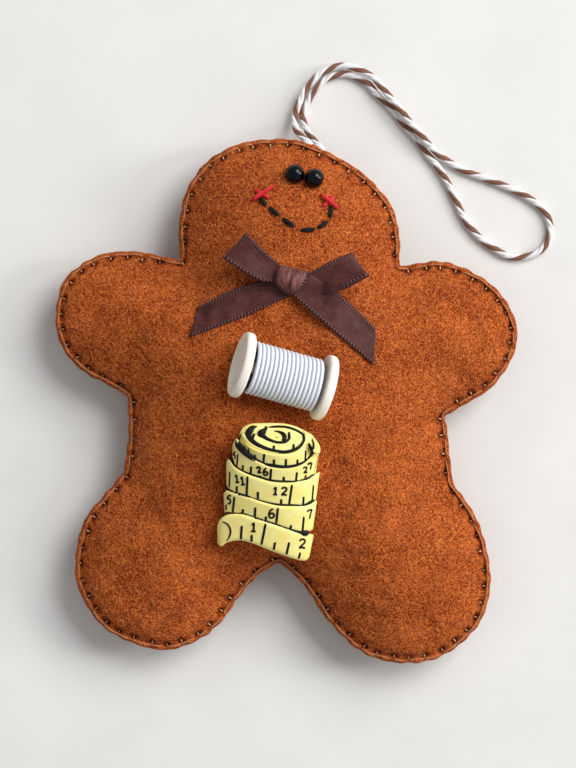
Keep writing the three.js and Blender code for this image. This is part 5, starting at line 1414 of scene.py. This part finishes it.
# Round block: lines from a middle spot to a closed rim, with the depth falling from the near to the far side
def topBlock(rim, depths):
    rows, cols = tape["blockSteps"]
    ring = smoothLine([*rim, rim[0]], cols)
    middle = ring[:-1].mean(axis=0)
    v = np.linspace(0.02, 1.0, rows)[:, None]
    spots = middle + (ring - middle)[None] * v[..., None]
    down = (spots[..., 1] - ring[:, 1].min()) / np.ptp(ring[:, 1])
    edge = np.clip((v - 1 + tape["rimSpan"]) / tape["rimSpan"], 0, 1)
    depth = depths[1] + (depths[0] - depths[1]) * down - tape["rimDrop"] * edge ** 2
    return reliefBlock(spots[::-1], depth[::-1])


tapeShape = together(*[levelBlock(level) for level in tape["levels"]],
                     topBlock(tape["rightShoulder"], tape["shoulderDepth"]),
                     topBlock(tape["topRim"], tape["topDepth"]))
tapeTris = np.vstack([tapeShape["quads"][:, [0, 1, 2]], tapeShape["quads"][:, [0, 2, 3]]])
tapeGrid = heightGrid(tapeShape["points"], tapeTris, tape["gridStep"])

# Ink strokes: each spot of the picture with the stroke's width there in millimetres; ticks are straight, from spot
# to spot; a digit has its middle, width, height and turn. Ticks and digits are print; the long strokes along the
# levels and over the top's spiral are printed grooves widened into painted shade where the coil's gaps and the
# inner sides of its turns lie dark
ink = {
    "strokes": [
        [(222.3, 521.5, 0.2), (227.5, 524.2, 0.36), (230.5, 530.0, 0.38), (229.6, 536.0, 0.36), (226.6, 541.2, 0.2)],
        [(225.4, 512.2, 0.4), (236, 513.0, 0.55), (244, 514.4, 0.55), (256, 518.2, 0.52), (276.2, 524.3, 0.46),
         (290, 529.3, 0.46), (300, 532.2, 0.6), (305.6, 533.0, 1.2), (309.6, 531.6, 0.8)],
        [(225.0, 485.0, 0.6), (228.6, 489.0, 1.0), (236, 493.2, 0.75), (246.8, 496.2, 0.46), (258, 499.7, 0.42),
         (270, 502.9, 0.42), (280, 504.5, 0.42), (292, 504.8, 0.42), (304, 504.9, 0.45), (310, 502.4, 0.6),
         (314.8, 499.8, 0.5)],
        [(229.4, 457.6, 0.5), (230.8, 460.6, 1.0), (234.2, 465.0, 0.95), (239.0, 468.6, 0.7), (246.6, 472.4, 0.5),
         (257.1, 475.9, 0.46), (271.1, 480.0, 0.46), (285.2, 481.1, 0.44), (299.2, 480.8, 0.42), (308.3, 478.2, 0.4),
         (315.4, 473.2, 0.3)],
        [(236.1, 440.0, 0.45), (236.9, 445.3, 0.72), (243.1, 451.4, 1.0), (248.7, 455.6, 1.0), (255.7, 460.0, 0.95),
         (264.1, 463.4, 0.85), (274.6, 465.4, 0.78), (285.2, 466.4, 0.66), (295.7, 465.0, 0.62), (304.8, 460.9, 0.56),
         (311.1, 453.7, 0.48), (313.6, 446.0, 0.42), (312.2, 438.2, 0.25)],
        [(240.8, 434.0, 0.2), (239.9, 440.0, 0.3), (240.8, 445.0, 0.2)],
        [(238.4, 442.0, 0.5), (240.4, 446.6, 1.1), (245.0, 451.2, 1.1), (250.5, 455.0, 0.9)],
        [(317.4, 455.0, 0.1), (316.0, 464.0, 0.16), (314.2, 472.0, 0.1)],
        [(257.1, 426.3, 0.5), (252.4, 428.4, 1.15), (248.6, 433.0, 1.3), (249.7, 438.2, 1.15), (254.8, 443.3, 0.98),
         (264.1, 447.9, 0.82), (274.6, 450.9, 0.7), (285.2, 451.9, 0.64), (294.3, 449.8, 0.66), (300.6, 445.6, 0.6),
         (303.8, 440.4, 0.55), (303.4, 435.4, 0.5), (298.7, 431.7, 0.52), (292.2, 428.8, 0.54), (285.2, 427.1, 0.54),
         (276.8, 426.8, 0.54), (268.3, 427.3, 0.42)],
        [(267.4, 427.4, 0.4), (264.0, 431.0, 1.1), (261.4, 433.6, 1.5), (264.3, 437.3, 0.95), (269.7, 440.2, 0.72),
         (278.2, 442.6, 0.62), (285.9, 441.6, 0.68), (289.4, 438.2, 0.5), (289.0, 432.6, 0.36)],
        [(273.9, 430.9, 0.2), (279.6, 432.3, 0.6), (283.6, 435.1, 0.98), (284.5, 438.2, 0.84), (282.4, 440.8, 0.5)],
    ],
    "ticks": [
        (241.8, 525.6, 240.9, 539.6), (251.8, 534.9, 251.5, 541.8), (265.7, 523.4, 261.4, 545.0),
        (275.2, 542.2, 273.7, 550.0), (289.2, 542.2, 286.5, 554.6), (300.2, 552.5, 298.6, 558.6),
        (234.6, 496.6, 232.8, 512.6), (243.1, 509.2, 242.8, 513.4), (255.4, 507.4, 254.9, 517.0),
        (265.9, 516.5, 265.9, 520.8), (278.0, 507.8, 276.2, 523.6), (291.2, 525.0, 290.1, 530.0),
        (303.8, 516.5, 302.3, 532.4), (226.3, 504.5, 226.6, 510.0), (230.1, 471.4, 229.5, 487.8),
        (237.1, 486.0, 236.8, 492.4), (247.6, 476.3, 246.7, 496.5), (257.9, 491.8, 258.0, 499.4),
        (281.4, 499.2, 281.0, 505.0), (292.0, 484.6, 289.0, 505.0), (303.6, 496.6, 303.0, 504.6),
        (313.2, 484.8, 311.8, 500.8), (238.0, 454.0, 237.2, 466.2), (243.1, 465.0, 242.8, 472.0),
        (251.3, 466.4, 250.8, 474.0), (259.8, 475.4, 260.0, 477.6), (271.2, 468.6, 270.2, 480.4),
        (283.8, 476.6, 283.8, 481.0), (296.9, 472.2, 295.8, 481.4), (305.6, 475.0, 304.6, 479.6),
        (248.8, 448.4, 248.8, 457.8), (264.3, 453.8, 263.4, 463.4), (274.0, 459.4, 274.0, 464.8),
        (286.0, 459.0, 285.8, 466.0), (297.4, 459.4, 297.2, 464.8), (305.4, 450.3, 304.9, 461.2),
        (308.4, 444.0, 312.2, 451.0), (254.8, 454.6, 255.8, 458.0), (254.4, 433.4, 252.3, 440.2),
        (274.0, 445.4, 273.6, 450.6), (293.6, 444.0, 293.6, 450.0), (289.2, 432.0, 288.8, 438.0),
        (303.3, 433.8, 303.6, 438.6), (266.6, 426.2, 264.6, 430.0),
    ],
    "stand": 0.04, "tickWidth": 0.48, "tickSteps": 14, "cornerSteps": 10, "endSpan": 0.04, "endShare": 0.15,
    "flatness": 0.35, "sides": 8, "black": [(6, 6, 7), (26, 26, 29)],
    "digits": [("1", 253.4, 527.3, 6.0, 8.6, -2), ("2", 302.3, 543.8, 7.0, 9.4, -4),
               ("5", 229.1, 499.6, 4.6, 9.0, -4), ("6", 271.6, 513.4, 6.6, 9.0, 2), ("7", 309.6, 514.0, 5.4, 9.6, 0),
               ("1", 236.8, 478.8, 4.6, 7.6, 8), ("1", 242.3, 481.0, 4.8, 8.0, 8),
               ("1", 275.2, 491.0, 5.4, 7.4, -4), ("2", 284.2, 491.4, 6.4, 8.0, -4),
               ("2", 259.0, 470.0, 4.4, 6.2, 14), ("6", 265.5, 471.8, 4.8, 7.0, 8),
               ("2", 305.2, 470.0, 4.4, 5.8, 6), ("7", 310.2, 466.2, 4.0, 7.0, 0), ("5", 234.7, 455.4, 2.0, 7.0, 0)],
    "digitWidth": 0.42,
}

# Strokes of each numeral in a box from -1 to 1, as they are drawn on the tape
numerals = {
    "1": [[(-0.7, 0.62), (-0.2, 0.7), (0.1, 0.98), (0.1, -0.8)], [(-0.75, -0.92), (0.9, -0.92)]],
    "2": [[(-0.8, 0.5), (-0.5, 0.9), (0.1, 1.0), (0.65, 0.75), (0.6, 0.3), (0.0, -0.2), (-0.8, -0.9)],
          [(-0.8, -0.9), (0.2, -0.75), (0.9, -0.95)]],
    "5": [[(0.75, 0.95), (-0.55, 0.85)],
          [(-0.55, 0.85), (-0.65, 0.15), (0.1, 0.25), (0.7, -0.2), (0.4, -0.8), (-0.5, -0.95)]],
    "6": [[(0.6, 0.98), (-0.2, 0.75), (-0.75, 0.0), (-0.6, -0.75), (0.0, -1.0), (0.65, -0.7), (0.65, -0.15),
           (0.05, 0.1), (-0.6, -0.25)]],
    "7": [[(-0.9, 0.4), (-0.6, 0.7), (0.85, 0.98)], [(0.85, 0.98), (0.3, 0.1), (-0.1, -1.0)]],
}


# Every stroke as one flat tube that lies half in the skin of the tape, with its ends rounded by a square root
def inkAndShadeShape():
    strokes = list(ink["strokes"])
    strokes += [[(a, b, ink["tickWidth"]), (c, d, ink["tickWidth"])] for a, b, c, d in ink["ticks"]]
    for digit, x, y, wide, tall, turn in ink["digits"]:
        c, s = np.cos(np.radians(turn)), np.sin(np.radians(turn))
        for line in numerals[digit]:
            p = np.array(line) * (wide / 2, tall / 2)
            strokes.append(np.stack([x + p[:, 0] * c - p[:, 1] * s, y - p[:, 0] * s - p[:, 1] * c,
                                     np.full(len(p), ink["digitWidth"])], -1))
    shapes = []
    for line in strokes:
        spots = smoothLine(line, ink["tickSteps"] if len(line) == 2 else ink["cornerSteps"] * len(line))
        place = seenOn(lambda at: heightAt(tapeGrid, at) + ink["stand"], spots, 22.0, 5)
        t = np.linspace(0.0, 1.0, len(spots))
        blunt = np.sqrt(np.clip(np.minimum(t, 1 - t) / ink["endSpan"] + ink["endShare"], 0, 1))
        shapes.append(sweep(place[None], spots[:, 2] / 2 * blunt, ink["sides"], squash=ink["flatness"]))
    return together(*shapes)


tapeYellow = mouldedMaterial("tape yellow", tape["yellow"])
# one black for the printed lines and for the painted shade in the coil's gaps
inkAndShadePaint = cloudyMaterial("ink", {"Roughness": 0.6, "Specular IOR Level": 0.2}, ink["black"], 1.5, 3.0, (0.3, 0.75))
coilAndShank = together(tapeShape, shankLoop(tape["shankAt"], tape["shankAlong"]))
tapeCoil = makePiece("tapeCoil", coilAndShank, "tape_button", tapeYellow)
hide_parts("tape_coil")
makePiece("tapeInkAndShade", inkAndShadeShape(), "tape_button", inkAndShadePaint)
sewnThread("tapeSewing", "tape_sewing_thread")
print("tape made")
